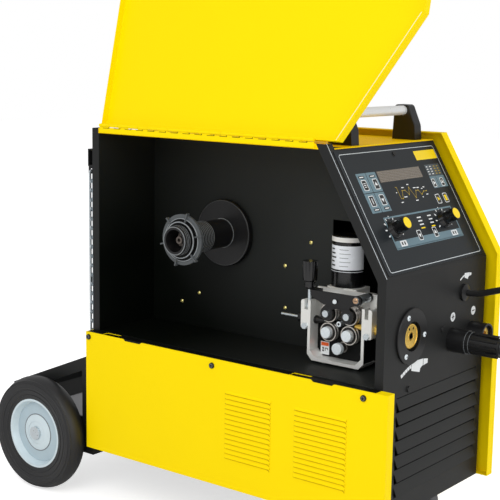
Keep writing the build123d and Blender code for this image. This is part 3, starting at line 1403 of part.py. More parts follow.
with BuildPart() as axle:
    with BuildSketch(Plane.XZ.offset(-axle_half)):
        with Locations((axle_x, axle_z)):
            Circle(axle_r)
    extrude(amount=2 * axle_half)
    for side in (-1, 1):
        washer_y = axle_half - 4.0 if side > 0 else -axle_half
        with BuildSketch(Plane.XZ.offset(-washer_y - 4.0)):
            with Locations((axle_x, axle_z)):
                Circle(12.0)
        extrude(amount=4.0)
finish(axle, "axle")

tyre_sections = [("tyre_near", "rim_near", -1), ("tyre_far", "rim_far", 1)]
for tyre_name, rim_name, side in tyre_sections:
    mid = side * tyre_mid
    half = tyre_width / 2
    with BuildPart() as tyre:
        with BuildSketch(Plane.YZ.offset(axle_x)):
            with BuildLine():
                t1 = Polyline((mid - half + 5.0, axle_z + rim_r),
                              (mid - half + 2.0, axle_z + rim_r + 12.0),
                              (mid - half, axle_z + rim_r + 22.0),
                              (mid - half + 2.0, axle_z + wheel_r - 7.0))
                t2 = ThreePointArc(t1 @ 1, (mid, axle_z + wheel_r),
                                   (mid + half - 2.0, axle_z + wheel_r - 7.0))
                t3 = Polyline(t2 @ 1, (mid + half, axle_z + rim_r + 22.0),
                              (mid + half - 2.0, axle_z + rim_r + 12.0), (mid + half - 5.0, axle_z + rim_r))
                Line(t3 @ 1, t1 @ 0)
            make_face()
        revolve(axis=Axis((axle_x, 0, axle_z), (0, 1, 0)))
    finish(tyre, tyre_name)
    with BuildPart() as rim:
        with BuildSketch(Plane.YZ.offset(axle_x)):
            with BuildLine():
                out = side * (half - 5.0)
                Polyline((mid - out, axle_z + rim_r), (mid + out, axle_z + rim_r),
                         (mid + out, axle_z + rim_r - 4.0), (mid + side * 3.0, axle_z + rim_r - 9.0),
                         (mid + side * 5.0, axle_z + 34.0), (mid + side * 9.0, axle_z + 20.0),
                         (mid + side * (half - 10.0) - side * gap, axle_z + 14.0),
                         (mid + side * (half - 10.0) - side * gap, axle_z + axle_r + running),
                         (mid - side * (half + 7.0), axle_z + axle_r + running),
                         (mid - side * (half + 7.0), axle_z + 14.0), (mid, axle_z + 16.0),
                         (mid, axle_z + rim_r - 12.0), (mid - out, axle_z + rim_r - 5.0), close=True)
            make_face()
        revolve(axis=Axis((axle_x, 0, axle_z), (0, 1, 0)))
    finish(rim, rim_name)

# ---------------------------------------------------------------- casters
caster_r = 37.5
caster_width = 24.0
caster_trail = 26.0
fork_gap = 1.5
fork_thick = 3.0
fork_top = base_z - caster_plate_thick - gap
caster_pin_r = 5.0

caster_names = (("caster_fork_near", "caster_wheel_near", -1),
                ("caster_fork_far", "caster_wheel_far", 1))
for fork_name, wheel_name, side in caster_names:
    at_y = side * caster_y
    wheel_x = caster_x - caster_trail
    with BuildPart() as caster_fork:
        with BuildSketch(Plane.XY.offset(fork_top - fork_crown)):
            with Locations((caster_x, at_y)):
                Circle(22.0)
            with Locations((caster_x - 12.0, at_y)):
                Rectangle(40.0, caster_width + 2 * fork_gap + 2 * fork_thick)
            with Locations((caster_x, at_y)):
                Circle(king_r + running, mode=Mode.SUBTRACT)
        extrude(amount=fork_crown)
        for cheek in (-1, 1):
            cheek_y = at_y + cheek * (caster_width / 2 + fork_gap + fork_thick / 2)
            with BuildSketch(Plane.XZ.offset(-cheek_y - fork_thick / 2)):
                Polygon((caster_x - 32.0, fork_top - 1.0), (caster_x + 8.0, fork_top - 1.0),
                        (wheel_x + 9.0, caster_r - 7.0), (wheel_x - 9.0, caster_r - 7.0), align=None)
            extrude(amount=fork_thick)
        with BuildSketch(Plane.XZ.offset(-at_y - caster_width / 2 - fork_gap)):
            with Locations((wheel_x, caster_r)):
                Circle(caster_pin_r)
        extrude(amount=caster_width + 2 * fork_gap)
    finish(caster_fork, fork_name)
    with BuildPart() as caster_wheel:
        with BuildSketch(Plane.XZ.offset(-at_y - caster_width / 2)):
            with Locations((wheel_x, caster_r)):
                Circle(caster_r)
        extrude(amount=caster_width)
        fillet(edges().filter_by(GeomType.CIRCLE), 4.0)
        for face_y in (at_y - caster_width / 2, at_y + caster_width / 2 - 3.0):
            with BuildSketch(Plane.XZ.offset(-face_y - 3.0)):
                with Locations((wheel_x, caster_r)):
                    Circle(caster_r - 10.0)
                    Circle(10.0, mode=Mode.SUBTRACT)
            extrude(amount=3.0, mode=Mode.SUBTRACT)
        with BuildSketch(Plane.XZ.offset(-at_y - caster_width)):
            with Locations((wheel_x, caster_r)):
                Circle(caster_pin_r + running)
        extrude(amount=2 * caster_width, mode=Mode.SUBTRACT)
    finish(caster_wheel, wheel_name)
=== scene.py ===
import json
import math

import bmesh
import bpy
from mathutils import Matrix, Vector


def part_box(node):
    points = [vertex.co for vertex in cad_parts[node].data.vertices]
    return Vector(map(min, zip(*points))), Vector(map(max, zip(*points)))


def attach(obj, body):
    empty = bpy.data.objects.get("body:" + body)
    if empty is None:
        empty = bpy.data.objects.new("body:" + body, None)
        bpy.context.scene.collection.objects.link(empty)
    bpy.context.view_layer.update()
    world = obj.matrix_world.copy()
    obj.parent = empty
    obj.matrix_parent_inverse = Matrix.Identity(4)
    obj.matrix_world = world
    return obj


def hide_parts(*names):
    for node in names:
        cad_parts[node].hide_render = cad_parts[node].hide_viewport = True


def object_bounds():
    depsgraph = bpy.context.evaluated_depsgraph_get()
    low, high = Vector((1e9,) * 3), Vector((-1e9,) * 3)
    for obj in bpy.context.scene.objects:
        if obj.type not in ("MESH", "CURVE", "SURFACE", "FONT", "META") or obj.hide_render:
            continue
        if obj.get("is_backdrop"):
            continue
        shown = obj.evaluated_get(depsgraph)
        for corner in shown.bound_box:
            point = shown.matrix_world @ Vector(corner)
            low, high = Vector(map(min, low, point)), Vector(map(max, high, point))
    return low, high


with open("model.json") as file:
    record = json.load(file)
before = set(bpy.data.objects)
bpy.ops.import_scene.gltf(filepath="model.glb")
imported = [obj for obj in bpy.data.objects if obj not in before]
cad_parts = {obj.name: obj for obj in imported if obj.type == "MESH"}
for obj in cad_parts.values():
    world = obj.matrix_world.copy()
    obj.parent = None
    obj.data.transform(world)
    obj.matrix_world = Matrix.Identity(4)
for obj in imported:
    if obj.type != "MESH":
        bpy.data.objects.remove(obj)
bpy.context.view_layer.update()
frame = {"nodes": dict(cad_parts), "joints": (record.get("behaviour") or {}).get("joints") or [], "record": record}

MM = 0.001
nodes = frame["nodes"]


def extent(node):
    """Lowest and highest corner of a CAD node in millimetres."""
    low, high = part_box(node)
    return low / MM, high / MM


# ---------------------------------------------------------------- stations, in millimetres
sheet = 1.5                             # folded sheet metal
front_x = extent("torch_flange")[0].x   # upright face of the front panel
rear_x = extent("rear_panel")[0].x
near_y = extent("front_panel")[0].y
far_y = extent("front_panel")[1].y
skin_y = near_y - 18.0                  # outside of the near lower cover
floor_z = extent("rear_panel")[0].z
bay_x = extent("bay_liner")[0].x
wall_y = extent("bay_liner")[1].y - sheet
sill_z = extent("bay_liner")[0].z + 20.0
bay_height = 349.0
break_z = sill_z + 164.4                # where the front starts to slope back
slope_rise = 197.2
slope_run = 116.3
slope = math.atan2(slope_run, slope_rise)
overlay_thick = 0.8
drive_x = front_x - 127.5               # middle of the wire drive
wire_y = near_y + 75.0
wire_z = sill_z + 70.0
plus_y = near_y + 205.0                 # plus socket
power_z = sill_z + 41.5
lid_lean = math.radians(12.6)           # the open lid leans back this far at rest
joint_place = {j["name"]: Vector(j["pos_m"]) / MM for j in frame["joints"] if "pos_m" in j}


def slope_x(z):
    """Place of the sloping front at that height."""
    return front_x - (z - break_z) * slope_run / slope_rise


# ---------------------------------------------------------------- camera
camera_place = Vector((1.2995, -1.6453, 0.7997))
camera_yaw, camera_pitch, camera_roll = (math.radians(a) for a in (37.9, -9.3, 0.9))
sensor_width, focal_length = 36.0, 87.264      # millimetres
forward = Vector((-math.sin(camera_yaw) * math.cos(camera_pitch),
                  math.cos(camera_yaw) * math.cos(camera_pitch), math.sin(camera_pitch)))
level = Vector((math.cos(camera_yaw), math.sin(camera_yaw), 0.0))
upright = level.cross(forward)
across = level * math.cos(camera_roll) + upright * math.sin(camera_roll)
above = upright * math.cos(camera_roll) - level * math.sin(camera_roll)
camera = bpy.data.objects.new("camera", bpy.data.cameras.new("camera"))
camera.data.sensor_width = sensor_width
camera.data.lens = focal_length
camera.data.clip_start = 0.05
camera.data.clip_end = 60.0
camera.matrix_world = Matrix.Translation(camera_place) @ Matrix(
    (across, above, -forward)).transposed().to_4x4()
bpy.context.scene.collection.objects.link(camera)
bpy.context.scene.camera = camera
bpy.context.scene.view_settings.view_transform = "Standard"


# ---------------------------------------------------------------- materials
def linear(colour):
    """An 8-bit screen colour as linear light."""
    return tuple(c / 255 / 12.92 if c <= 10.31 else ((c / 255 + 0.055) / 1.055) ** 2.4
                 for c in colour)


def surface(name, colour, rough, metal=0.0, vary=0.06, patch=30.0, grain=0.5, depth=0.004,
            edge=0.5, edge_highlight=None, stretch=(1, 1, 1), coat=0.0, rough_vary=0.06, spec=0.5,
            shade_fade=None):
    """Procedural finish. patch, grain, depth and edge are millimetres: the size of the colour's
    patches and of the surface's grain, the grain's depth, and the radius of the edges. worn is
    the lighter colour of a painted highlight on the edges, broken up by the grain. fade is
    painted shade: two sums of X and Z, and the dark colour at the first."""
    material = bpy.data.materials.new(name)
    material.use_nodes = True
    tree = material.node_tree
    shader = tree.nodes["Principled BSDF"]

    def add(kind, links=(), **values):
        node = tree.nodes.new(kind)
        for key, value in values.items():
            if hasattr(node, key):
                setattr(node, key, value)
            else:
                node.inputs[key].default_value = value
        for socket, source in links:
            tree.links.new(source, node.inputs[socket])
        return node

    base = linear(colour)
    coords = add("ShaderNodeTexCoord").outputs["Object"]
    stretched = add("ShaderNodeMapping", [("Vector", coords)], Scale=stretch).outputs[0]
    blotch = add("ShaderNodeTexNoise", [("Vector", coords)], Scale=1 / (patch * MM), Detail=3.0)
    fine = add("ShaderNodeTexNoise", [("Vector", stretched)], Scale=1 / (grain * MM), Detail=2.0)
    tint = add("ShaderNodeMix", [(0, blotch.outputs[0])], data_type="RGBA")
    tint.inputs[6].default_value = (*[c * (1 - vary) for c in base], 1)
    tint.inputs[7].default_value = (*[min(c * (1 + vary) + 0.002 * vary, 1) for c in base], 1)
    painted = tint.outputs[2]
    # Painted shade: the colour darkens to the fade colour as X plus Z falls, deepest at the first sum.
    if shade_fade:
        place = add("ShaderNodeSeparateXYZ", [("Vector", coords)])
        sum_xz = add("ShaderNodeMath", [(0, place.outputs["X"]), (1, place.outputs["Z"])],
                     operation="ADD")
        along = add("ShaderNodeMapRange", [("Value", sum_xz.outputs[0])])
        along.inputs["From Min"].default_value = shade_fade[0] * MM
        along.inputs["From Max"].default_value = shade_fade[1] * MM
        shaded = add("ShaderNodeMix", [(0, along.outputs[0]), (7, painted)], data_type="RGBA")
        shaded.inputs[6].default_value = (*linear(shade_fade[2]), 1)
        painted = shaded.outputs[2]
    rounded = add("ShaderNodeBevel", samples=4, Radius=edge * MM)
    # Painted highlight: the edges turn towards the lighter worn colour, patchy with the grain.
    if edge_highlight:
        facing = add("ShaderNodeNewGeometry")
        match = add("ShaderNodeVectorMath",
                    [(0, rounded.outputs[0]), (1, facing.outputs["Normal"])],
                    operation="DOT_PRODUCT")
        ramp = add("ShaderNodeMapRange", [("Value", match.outputs["Value"])])
        ramp.inputs["From Min"].default_value = 0.97
        ramp.inputs["From Max"].default_value = 0.80
        patchy = add("ShaderNodeMath", [(0, ramp.outputs[0]), (1, fine.outputs[0])],
                     operation="MULTIPLY")
        edge_lit = add("ShaderNodeMix", [(0, patchy.outputs[0]), (6, painted)], data_type="RGBA")
        edge_lit.inputs[7].default_value = (*linear(edge_highlight), 1)
        painted = edge_lit.outputs[2]
    tree.links.new(painted, shader.inputs["Base Color"])
    shine = add("ShaderNodeMapRange", [("Value", blotch.outputs[0])])
    shine.inputs["To Min"].default_value = max(rough - rough_vary, 0.03)
    shine.inputs["To Max"].default_value = rough + rough_vary
    tree.links.new(shine.outputs[0], shader.inputs["Roughness"])
    bump = add("ShaderNodeBump", [("Height", fine.outputs[0]), ("Normal", rounded.outputs[0])],
               Strength=1.0, Distance=depth * MM)
    tree.links.new(bump.outputs[0], shader.inputs["Normal"])
    shader.inputs["Metallic"].default_value = metal
    shader.inputs["Specular IOR Level"].default_value = spec
    shader.inputs["Coat Weight"].default_value = coat
    shader.inputs["Coat Roughness"].default_value = 0.08
    return material


finishes = {
    "yellow_paint": surface("yellow_powder_coat", (255, 223, 0), 0.46, vary=0.010, patch=70.0,
                            grain=0.9, depth=0.006, edge=0.9, rough_vary=0.04, spec=0.07),
    "black_paint": surface("black_powder_coat", (22, 23, 23), 0.50, vary=0.14, patch=45.0,
                           grain=0.35, depth=0.012, edge=0.7, edge_highlight=(62, 64, 65), spec=0.32),
    "zinc_steel": surface("bright_zinc", (206, 214, 219), 0.30, metal=0.85, vary=0.10, patch=5.0,
                          grain=0.25, depth=0.004, edge=0.3, rough_vary=0.10),
    "aluminium_tube": surface("satin_aluminium", (236, 238, 240), 0.30, metal=0.35, vary=0.04,
                              patch=12.0, grain=0.2, depth=0.003, stretch=(1, 0.04, 1)),
    "cast_aluminium": surface("cast_aluminium", (232, 232, 228), 0.34, metal=0.35, vary=0.06,
                              patch=8.0, grain=0.6, depth=0.02, edge=0.6, rough_vary=0.08),
    "black_plastic": surface("moulded_black", (18, 18, 19), 0.36, vary=0.10, patch=15.0,
                             grain=0.4, depth=0.006, edge=0.4, edge_highlight=(48, 49, 51), spec=0.40),
    "grey_plastic": surface("moulded_grey", (78, 82, 84), 0.42, vary=0.08, patch=12.0,
                            grain=0.4, depth=0.008, edge=0.5, edge_highlight=(140, 144, 146), spec=0.5),
    "overlay_print": surface("printed_film", (34, 38, 41), 0.30, vary=0.04, patch=40.0,
                             grain=0.8, depth=0.001, edge=0.4, coat=0.02, rough_vary=0.03,
                             spec=0.16),
    "window_plastic": surface("tinted_window", (108, 99, 88), 0.16, vary=0.05, patch=20.0,
                              grain=1.0, depth=0.001, edge=0.3, coat=0.4),
    "brass": surface("turned_brass", (240, 200, 98), 0.26, metal=0.6, vary=0.05, patch=9.0,
                     grain=0.8, depth=0.002, edge=0.5, rough_vary=0.06),
    "machined_steel": surface("turned_steel", (176, 172, 168), 0.34, metal=1.0, vary=0.12,
                              patch=4.0, grain=0.25, depth=0.006, edge=0.25),
    "motor_black": surface("motor_lacquer", (12, 13, 14), 0.24, vary=0.10, patch=18.0,
                           grain=0.6, depth=0.003, edge=0.4, coat=0.15),
    "lead_rubber": surface("lead_jacket", (20, 20, 21), 0.38, vary=0.12, patch=9.0,
                           grain=0.5, depth=0.010, edge=0.3),
    "tyre_rubber": surface("tyre_rubber", (25, 25, 27), 0.46, vary=0.16, patch=14.0,
                           grain=0.7, depth=0.03, edge=0.8, edge_highlight=(60, 60, 62)),
    "caster_rubber": surface("caster_tread", (92, 93, 96), 0.62, vary=0.10, patch=8.0,
                             grain=0.6, depth=0.02, edge=0.6),
}
for part in frame["record"]["subparts"]:
    shell = nodes[part["node"]]
    shell.data.materials.clear()
    shell.data.materials.append(finishes[part["material_slot"]])

print_white = surface("print_white", (226, 229, 230), 0.35, vary=0.03, edge=0.05)
print_pale = surface("print_pale", (206, 213, 217), 0.35, vary=0.04, edge=0.05)
print_grey = surface("print_grey", (112, 118, 124), 0.35, vary=0.04, edge=0.05)
print_blue = surface("print_blue_grey", (98, 124, 135), 0.30, vary=0.04, edge=0.05)
print_dark = surface("print_dark", (18, 19, 20), 0.30, vary=0.04, edge=0.05)
print_yellow = surface("print_yellow", (250, 216, 10), 0.35, vary=0.03, edge=0.05)
print_ochre = surface("print_ochre", (176, 148, 30), 0.35, vary=0.05, edge=0.05)
print_orange = surface("print_orange", (232, 92, 20), 0.35, vary=0.05, edge=0.05)
rim_paint = surface("rim_silver", (212, 226, 232), 0.34, metal=0.15, vary=0.05, patch=16.0,
                    grain=0.8, depth=0.008, edge=0.8)
label_foil = surface("label_foil", (240, 244, 250), 0.26, vary=0.05, patch=14.0, grain=0.4,
                     depth=0.001, edge=0.1)
band_white = surface("cap_band", (232, 231, 227), 0.35, vary=0.03, patch=8.0, edge=0.3)
roll_face = surface("roll_dark_face", (36, 35, 34), 0.34, metal=0.4, vary=0.12, patch=5.0, edge=0.2)
copper = surface("pivot_copper", (204, 168, 136), 0.30, metal=1.0, vary=0.10, patch=2.0, edge=0.3)
rim_shade = surface("rim_shade", (180, 198, 207), 0.36, metal=0.15, vary=0.06, patch=16.0, edge=0.6)
zinc_knob = surface("zinc_knob", (226, 234, 238), 0.34, metal=0.12, vary=0.12, patch=2.5,
                    grain=0.3, depth=0.004, edge=0.5)
roll_edge = surface("roll_edge", (206, 201, 194), 0.30, metal=0.7, vary=0.08, patch=3.0, edge=0.2)
deep_black = surface("deep_black", (9, 10, 10), 0.50, vary=0.10, edge=0.3, spec=0.15)
gloss_black = surface("gloss_black", (14, 14, 15), 0.18, vary=0.08, patch=10.0, edge=0.4, spec=0.55)
louvre_painted_shade = surface("louvre_painted_shade", (214, 176, 0), 0.5, vary=0.03, edge=0.2, spec=0.05)
thread_light = surface("thread_light", (122, 126, 128), 0.36, vary=0.08, patch=4.0, edge=0.1)
pale_brass = surface("pale_brass", (226, 214, 138), 0.28, metal=0.8, vary=0.08, patch=2.0, edge=0.3)
own_finishes = {
    "rim_near": rim_paint, "rim_far": rim_paint, "tension_knob": gloss_black,
    "knob_left": gloss_black, "knob_right": gloss_black, "gear_cover": deep_black,
    "front_grille": surface("grille_black", (30, 31, 30), 0.42, vary=0.08, edge=0.6, spec=0.35),
    # The bay's lining carries painted shade, darkest towards the back and the bottom of the bay.
    "bay_liner": surface("bay_black_painted_shade", (47, 49, 48), 0.50, vary=0.10, patch=60.0, grain=0.35,
                         depth=0.010, edge=0.6, spec=0.14,
                         shade_fade=(bay_x + sill_z + 140.0, front_x + sill_z + 75.0, (2, 5, 2))),
    # The top's yellow is painted darker and more orange: painted shade and painted reflected light on the top.
    "top_cover": surface("yellow_top_painted_shade", (255, 208, 0), 0.55, vary=0.012, patch=70.0, grain=0.9,
                         depth=0.006, edge=0.9, spec=0.02),
    "hub_axle": surface("dull_steel", (112, 104, 98), 0.40, metal=0.8, vary=0.12, patch=3.0,
                        edge=0.3),
}
for node, material in own_finishes.items():
    nodes[node].data.materials[0] = material


# ---------------------------------------------------------------- mesh tools
def plane(origin, u, v):
    """Matrix from a plane's own millimetres to the row frame in metres."""
    u, v = Vector(u), Vector(v)
    axes = Matrix((u, v, u.cross(v))).transposed().to_4x4()
    return Matrix.Translation(Vector(origin) * MM) @ axes @ Matrix.Scale(MM, 4)


def ring_points(u, v, r, sides, start=0.0):
    """Points of a regular polygon, in degrees from the plane's first axis."""
    angles = [math.radians(start + 360 * k / sides) for k in range(sides)]
    return [(u + r * math.cos(a), v + r * math.sin(a)) for a in angles]


def round_box(u0, v0, u1, v1, r, steps=4):
    """Outline of a rectangle with rounded corners."""
    points = []
    for cu, cv, start in ((u1 - r, v1 - r, 0), (u0 + r, v1 - r, 90),
                          (u0 + r, v0 + r, 180), (u1 - r, v0 + r, 270)):
        for k in range(steps + 1):
            a = math.radians(start + 90 * k / steps)
            points.append((cu + r * math.cos(a), cv + r * math.sin(a)))
    return points


def stroke(points, width):
    """Outline of a flat line of that width along the points."""
    left, right = [], []
    vectors = [Vector(p) for p in points]
    for k, at in enumerate(vectors):
        ahead = (vectors[min(k + 1, len(vectors) - 1)] - vectors[max(k - 1, 0)]).normalized()
        side = Vector((-ahead.y, ahead.x)) * width / 2
        left.append(tuple(at + side))
        right.append(tuple(at - side))
    return right + left[::-1]


class Shape:
    """A mesh of prisms and turned bodies, drawn in millimetres on a plane."""

    def __init__(self, on):
        self.mesh = bmesh.new()
        self.on = on

    def point(self, u, v, w):
        return self.mesh.verts.new(self.on @ Vector((u, v, w)))

    def prism(self, outline, low, high, hole=None):
        """Upright solid from low to high over an outline, with a hole of as many points."""
        floor = [self.point(u, v, low) for u, v in outline]
        roof = [self.point(u, v, high) for u, v in outline]
        count = len(outline)
        for k in range(count):
            n = (k + 1) % count
            self.mesh.faces.new((floor[k], floor[n], roof[n], roof[k]))
        if hole is None:
            self.mesh.faces.new(roof)
            self.mesh.faces.new(floor[::-1])
            return
        in_floor = [self.point(u, v, low) for u, v in hole]
        in_roof = [self.point(u, v, high) for u, v in hole]
        for k in range(count):
            n = (k + 1) % count
            self.mesh.faces.new((in_floor[n], in_floor[k], in_roof[k], in_roof[n]))
            self.mesh.faces.new((roof[k], roof[n], in_roof[n], in_roof[k]))
            self.mesh.faces.new((floor[n], floor[k], in_floor[k], in_floor[n]))

    def turn(self, u, v, profile, sides=32, closed=False):
        """Solid turned about the plane's third axis through u, v. The profile holds radius and
        height, from the axis round to the axis, or a closed ring."""
        rows = []
        for r, w in profile:
            if r < 1e-6:
                rows.append([self.point(u, v, w)])
            else:
                rows.append([self.point(pu, pv, w) for pu, pv in ring_points(u, v, r, sides)])
        pairs = list(zip(rows, rows[1:]))
        if closed:
            pairs.append((rows[-1], rows[0]))
        for lower, upper in pairs:
            for k in range(sides):
                n = (k + 1) % sides
                corners = [lower[k % len(lower)], lower[n % len(lower)],
                           upper[n % len(upper)], upper[k % len(upper)]]
                unique = list(dict.fromkeys(corners))
                if len(unique) > 2:
                    self.mesh.faces.new(unique)

    def slab(self, u0, v0, u1, v1, r, low, high):
        """Flat box with rounded corners."""
        self.prism(round_box(u0, v0, u1, v1, r), low, high)

    def tile(self, u, v, wide, tall, r, low, high):
        """Flat box with rounded corners, about its middle."""
        self.slab(u - wide / 2, v - tall / 2, u + wide / 2, v + tall / 2, r, low, high)

    def ring(self, u, v, r0, r1, low, high, sides=40):
        """Flat ring about u, v from one radius to another."""
        self.turn(u, v, [(r0, low), (r1, low), (r1, high), (r0, high)], sides, closed=True)

    def make(self, name, material, body="root", slot=None, sharp=35.0):
        bmesh.ops.recalc_face_normals(self.mesh, faces=self.mesh.faces[:])
        for face in self.mesh.faces:
            face.smooth = True
        for edge in self.mesh.edges:
            edge.smooth = edge.is_manifold and edge.calc_face_angle(0) < math.radians(sharp)
        mesh = bpy.data.meshes.new(name)
        self.mesh.to_mesh(mesh)
        self.mesh.free()
        mesh.materials.append(material)
        piece = bpy.data.objects.new(name, mesh)
        bpy.context.scene.collection.objects.link(piece)
        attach(piece, body)
        return piece


slope_top = (front_x - slope_run, 0.0, break_z + slope_rise)
face = plane(slope_top, (0, 1, 0), (-math.sin(slope), 0, math.cos(slope)))
front = plane((front_x, 0, 0), (0, 1, 0), (0, 0, 1))


def facing_near(y):
    """Plane that looks out of the near side at y: across is X, up is Z."""
    return plane((0, y, 0), (1, 0, 0), (0, 0, 1))


# ---------------------------------------------------------------- polarity lead
lead_diameter = 10.5
lead_route = [(7, 83, 421.6), (27, 83, 421.6), (60, 81, 433), (102, 78, 443.5), (155, 73, 445.5),
              (209, 69, 440), (249, 65, 424), (271, 61, 388), (264, 58, 346), (232, 55, 319.4),
              (190, 52, 319.4), (144, 49, 349.5), (104, 49, 349.5)]
route = [Vector((front_x + x, y, z)) * MM for x, y, z in lead_route]
curve = bpy.data.curves.new("polarity_cable", "CURVE")
curve.dimensions = "3D"
curve.bevel_depth = lead_diameter / 2 * MM
curve.bevel_resolution = 6
curve.resolution_u = 16
curve.use_fill_caps = True
spline = curve.splines.new("NURBS")
spline.points.add(len(route) - 1)
for knot, place in zip(spline.points, route):
    knot.co = (*place, 1.0)
spline.order_u = 3
spline.use_endpoint_u = True
curve.materials.append(finishes["lead_rubber"])
cable = bpy.data.objects.new("polarity_cable", curve)
bpy.context.scene.collection.objects.link(cable)
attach(cable, "root")
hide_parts("polarity_lead")

# ---------------------------------------------------------------- control panel's print
print_low = overlay_thick - 0.3
layer = overlay_thick + 0.06


def at(y, s):
    """Place on the control face: y from the near edge, s down the slope."""
    return near_y + y, -s


def panel_box(shape, y0, s0, y1, s1, r, top, inset=None):
    """Print between two places on the control face, or only its frame if it has an inset."""
    u0, v0 = at(y0, s1)
    u1, v1 = at(y1, s0)
    outline = round_box(u0, v0, u1, v1, r)
    hole = None
    if inset:
        hole = round_box(u0 + inset, v0 + inset, u1 - inset, v1 - inset, max(r - inset, 0.2))
    shape.prism(outline, print_low, top, hole)


outline = Shape(face)
panel_box(outline, 18.0, 24.0, 300.0, 219.0, 5.0, layer, inset=1.0)
# Painted highlight: a thin pale line along the near edge of the sloping face.
panel_box(outline, 2.2, 4.0, 3.0, 226.0, 0.3, 0.12)
outline.make("panel_outline_and_edge_highlight", print_pale, slot="overlay_print")

blue = Shape(face)
for tile_y0, tile_y1 in ((40.0, 66.6), (67.8, 94.5)):
    for tile_s0, tile_s1 in ((58.0, 90.6), (91.8, 124.0)):
        panel_box(blue, tile_y0, tile_s0, tile_y1, tile_s1, 0.6, layer)
for tile_y0, tile_y1 in ((246.0, 265.0), (266.0, 292.0)):
    panel_box(blue, tile_y0, 78.0, tile_y1, 99.0, 0.6, layer)
field_y0, field_y1, field_s0, field_s1 = 62.0, 269.0, 133.0, 187.0
panel_box(blue, field_y0, field_s0, field_y1, field_s1, 1.0, layer, inset=2.6)
panel_box(blue, field_y0 + 1.0, 173.0, field_y1 - 1.0, field_s1 - 1.0, 0.5, layer)
blue.make("panel_fields", print_blue, slot="overlay_print")

shade = Shape(face)
panel_box(shade, 246.0, 57.0, 292.0, 77.4, 0.6, layer)
shade.make("panel_lamp_field", surface("print_shade", (66, 76, 82), 0.3, vary=0.05, edge=0.05),
           slot="overlay_print")

white, dark, yellow, ochre = (Shape(face) for _ in range(4))
key_high = layer + 0.25
keys = [(53.0, 78.0, 13.5, 18.0, "bars"), (84.0, 78.0, 13.5, 18.0, "up"),
        (54.0, 104.6, 13.5, 18.0, "bar"), (83.0, 104.7, 13.5, 18.0, "down"),
        (252.0, 90.0, 10.5, 15.0, "right"), (279.0, 90.0, 10.5, 15.0, "up"),
        (141.0, 171.0, 12.0, 17.0, "down"), (189.0, 171.0, 12.0, 17.0, "up"),
        (243.0, 118.0, 13.0, 17.0, "yellow_right"), (267.0, 118.0, 13.0, 17.0, "yellow_bar")]
for key_y, key_s, wide, tall, sign in keys:
    y0, y1 = key_y - wide / 2, key_y + wide / 2
    s0, s1 = key_s - tall / 2, key_s + tall / 2
    panel_box(white, y0, s0, y1, s1, 2.2, key_high, inset=1.1)
    panel_box(dark, y0 + 1.1, s0 + 1.1, y1 - 1.1, s1 - 1.1, 1.4, key_high - 0.08)
    signs = yellow if sign.startswith("yellow") else white
    u, v = at(key_y, key_s)
    if sign == "bars":
        for row in (-3.0, 0.0, 3.0):
            signs.tile(u, v + row, 6.0, 1.2, 0.3, print_low, key_high)
    elif sign == "bar":
        signs.tile(u, v, 1.8, 10.0, 0.4, print_low, key_high)
    elif sign == "yellow_bar":
        signs.tile(u, v, 6.4, 10.0, 0.4, print_low, key_high)
    else:
        turn = {"up": 90, "down": 270, "right": 0, "yellow_right": 0}[sign]
        signs.prism(ring_points(u, v, 4.2, 3, turn), print_low, key_high)

for tag_y, tag_s in ((52.0, 64.5), (82.0, 64.5), (55.0, 119.0), (84.0, 119.0)):
    panel_box(dark, tag_y - 7.5, tag_s - 2.2, tag_y + 7.5, tag_s + 2.2, 0.6, key_high - 0.1)
    panel_box(white, tag_y - 5.5, tag_s - 0.8, tag_y + 5.5, tag_s + 0.8, 0.4, key_high)
for tag_y, tag_s in ((87.0, 178.5), (245.0, 178.8)):
    panel_box(white, tag_y - 9.0, tag_s - 4.6, tag_y + 9.0, tag_s + 4.6, 0.8, key_high - 0.1)
    for step in (-4.0, 3.0):
        panel_box(dark, tag_y + step - 1.8, tag_s - 2.6, tag_y + step + 1.8, tag_s + 2.6,
                  0.8, key_high)
for row in range(4):
    marks = yellow if row == 3 else white
    for mark_y, wide in ((160.0, 12.0), (192.0, 11.0)):
        panel_box(marks, mark_y - wide / 2, 141.6 + 6.0 * row, mark_y + wide / 2,
                  143.6 + 6.0 * row, 0.4, layer)
for row in range(4):
    for mark_y in (251.0, 262.0, 274.0, 284.0):
        panel_box(white if mark_y < 270 else ochre, mark_y - 2.4, 60.0 + 4.4 * row,
                  mark_y + 2.4, 61.6 + 4.4 * row, 0.3, layer + 0.05)

knob_places = ((76.7, 154.5), (228.3, 154.5))
dial_r0, dial_r1 = 18.0, 23.0
lowest_mark = 168.0         # down the slope, where the dials' marks end
for place in knob_places:
    u, v = at(*place)
    for step in range(11):
        angle = math.radians(-55 + 29 * step)
        spot, tail = ((u + r * math.cos(angle), v + r * math.sin(angle)) for r in (dial_r0, dial_r1))
        if spot[1] >= -lowest_mark:
            white.prism(stroke([spot, tail], 2.1), print_low, layer)

# Weld cycle diagram: gas, start, weld, crater and end, as a line with dots and marks.
cycle = [(131, 88), (135, 88), (135, 108), (141, 108), (147, 95), (156, 95), (163, 103), (170, 91),
         (179, 110), (187, 98), (194, 98), (200, 106), (209, 101), (218, 101)]
for before, after in zip(cycle, cycle[1:]):
    ochre.prism(stroke([at(*before), at(*after)], 0.8), print_low, layer)
for stop in cycle[3:]:
    ochre.prism(ring_points(*at(*stop), 1.2, 10), print_low, layer + 0.03)
for mark_y, mark_s, wide in ((129, 97, 3), (134, 114, 6), (152, 90, 7), (150, 106, 9), (170, 86, 6),
                             (179, 114.5, 8), (186, 93, 8), (196, 93.5, 7), (200, 110.5, 3),
                             (207, 96, 4), (214, 94, 5), (216, 107, 6)):
    panel_box(white, mark_y - wide / 2, mark_s - 0.8, mark_y + wide / 2, mark_s + 0.8, 0.3, layer)
panel_box(yellow, 231.0, 31.0, 297.5, 47.5, 0.8, layer)
glint = Shape(face)
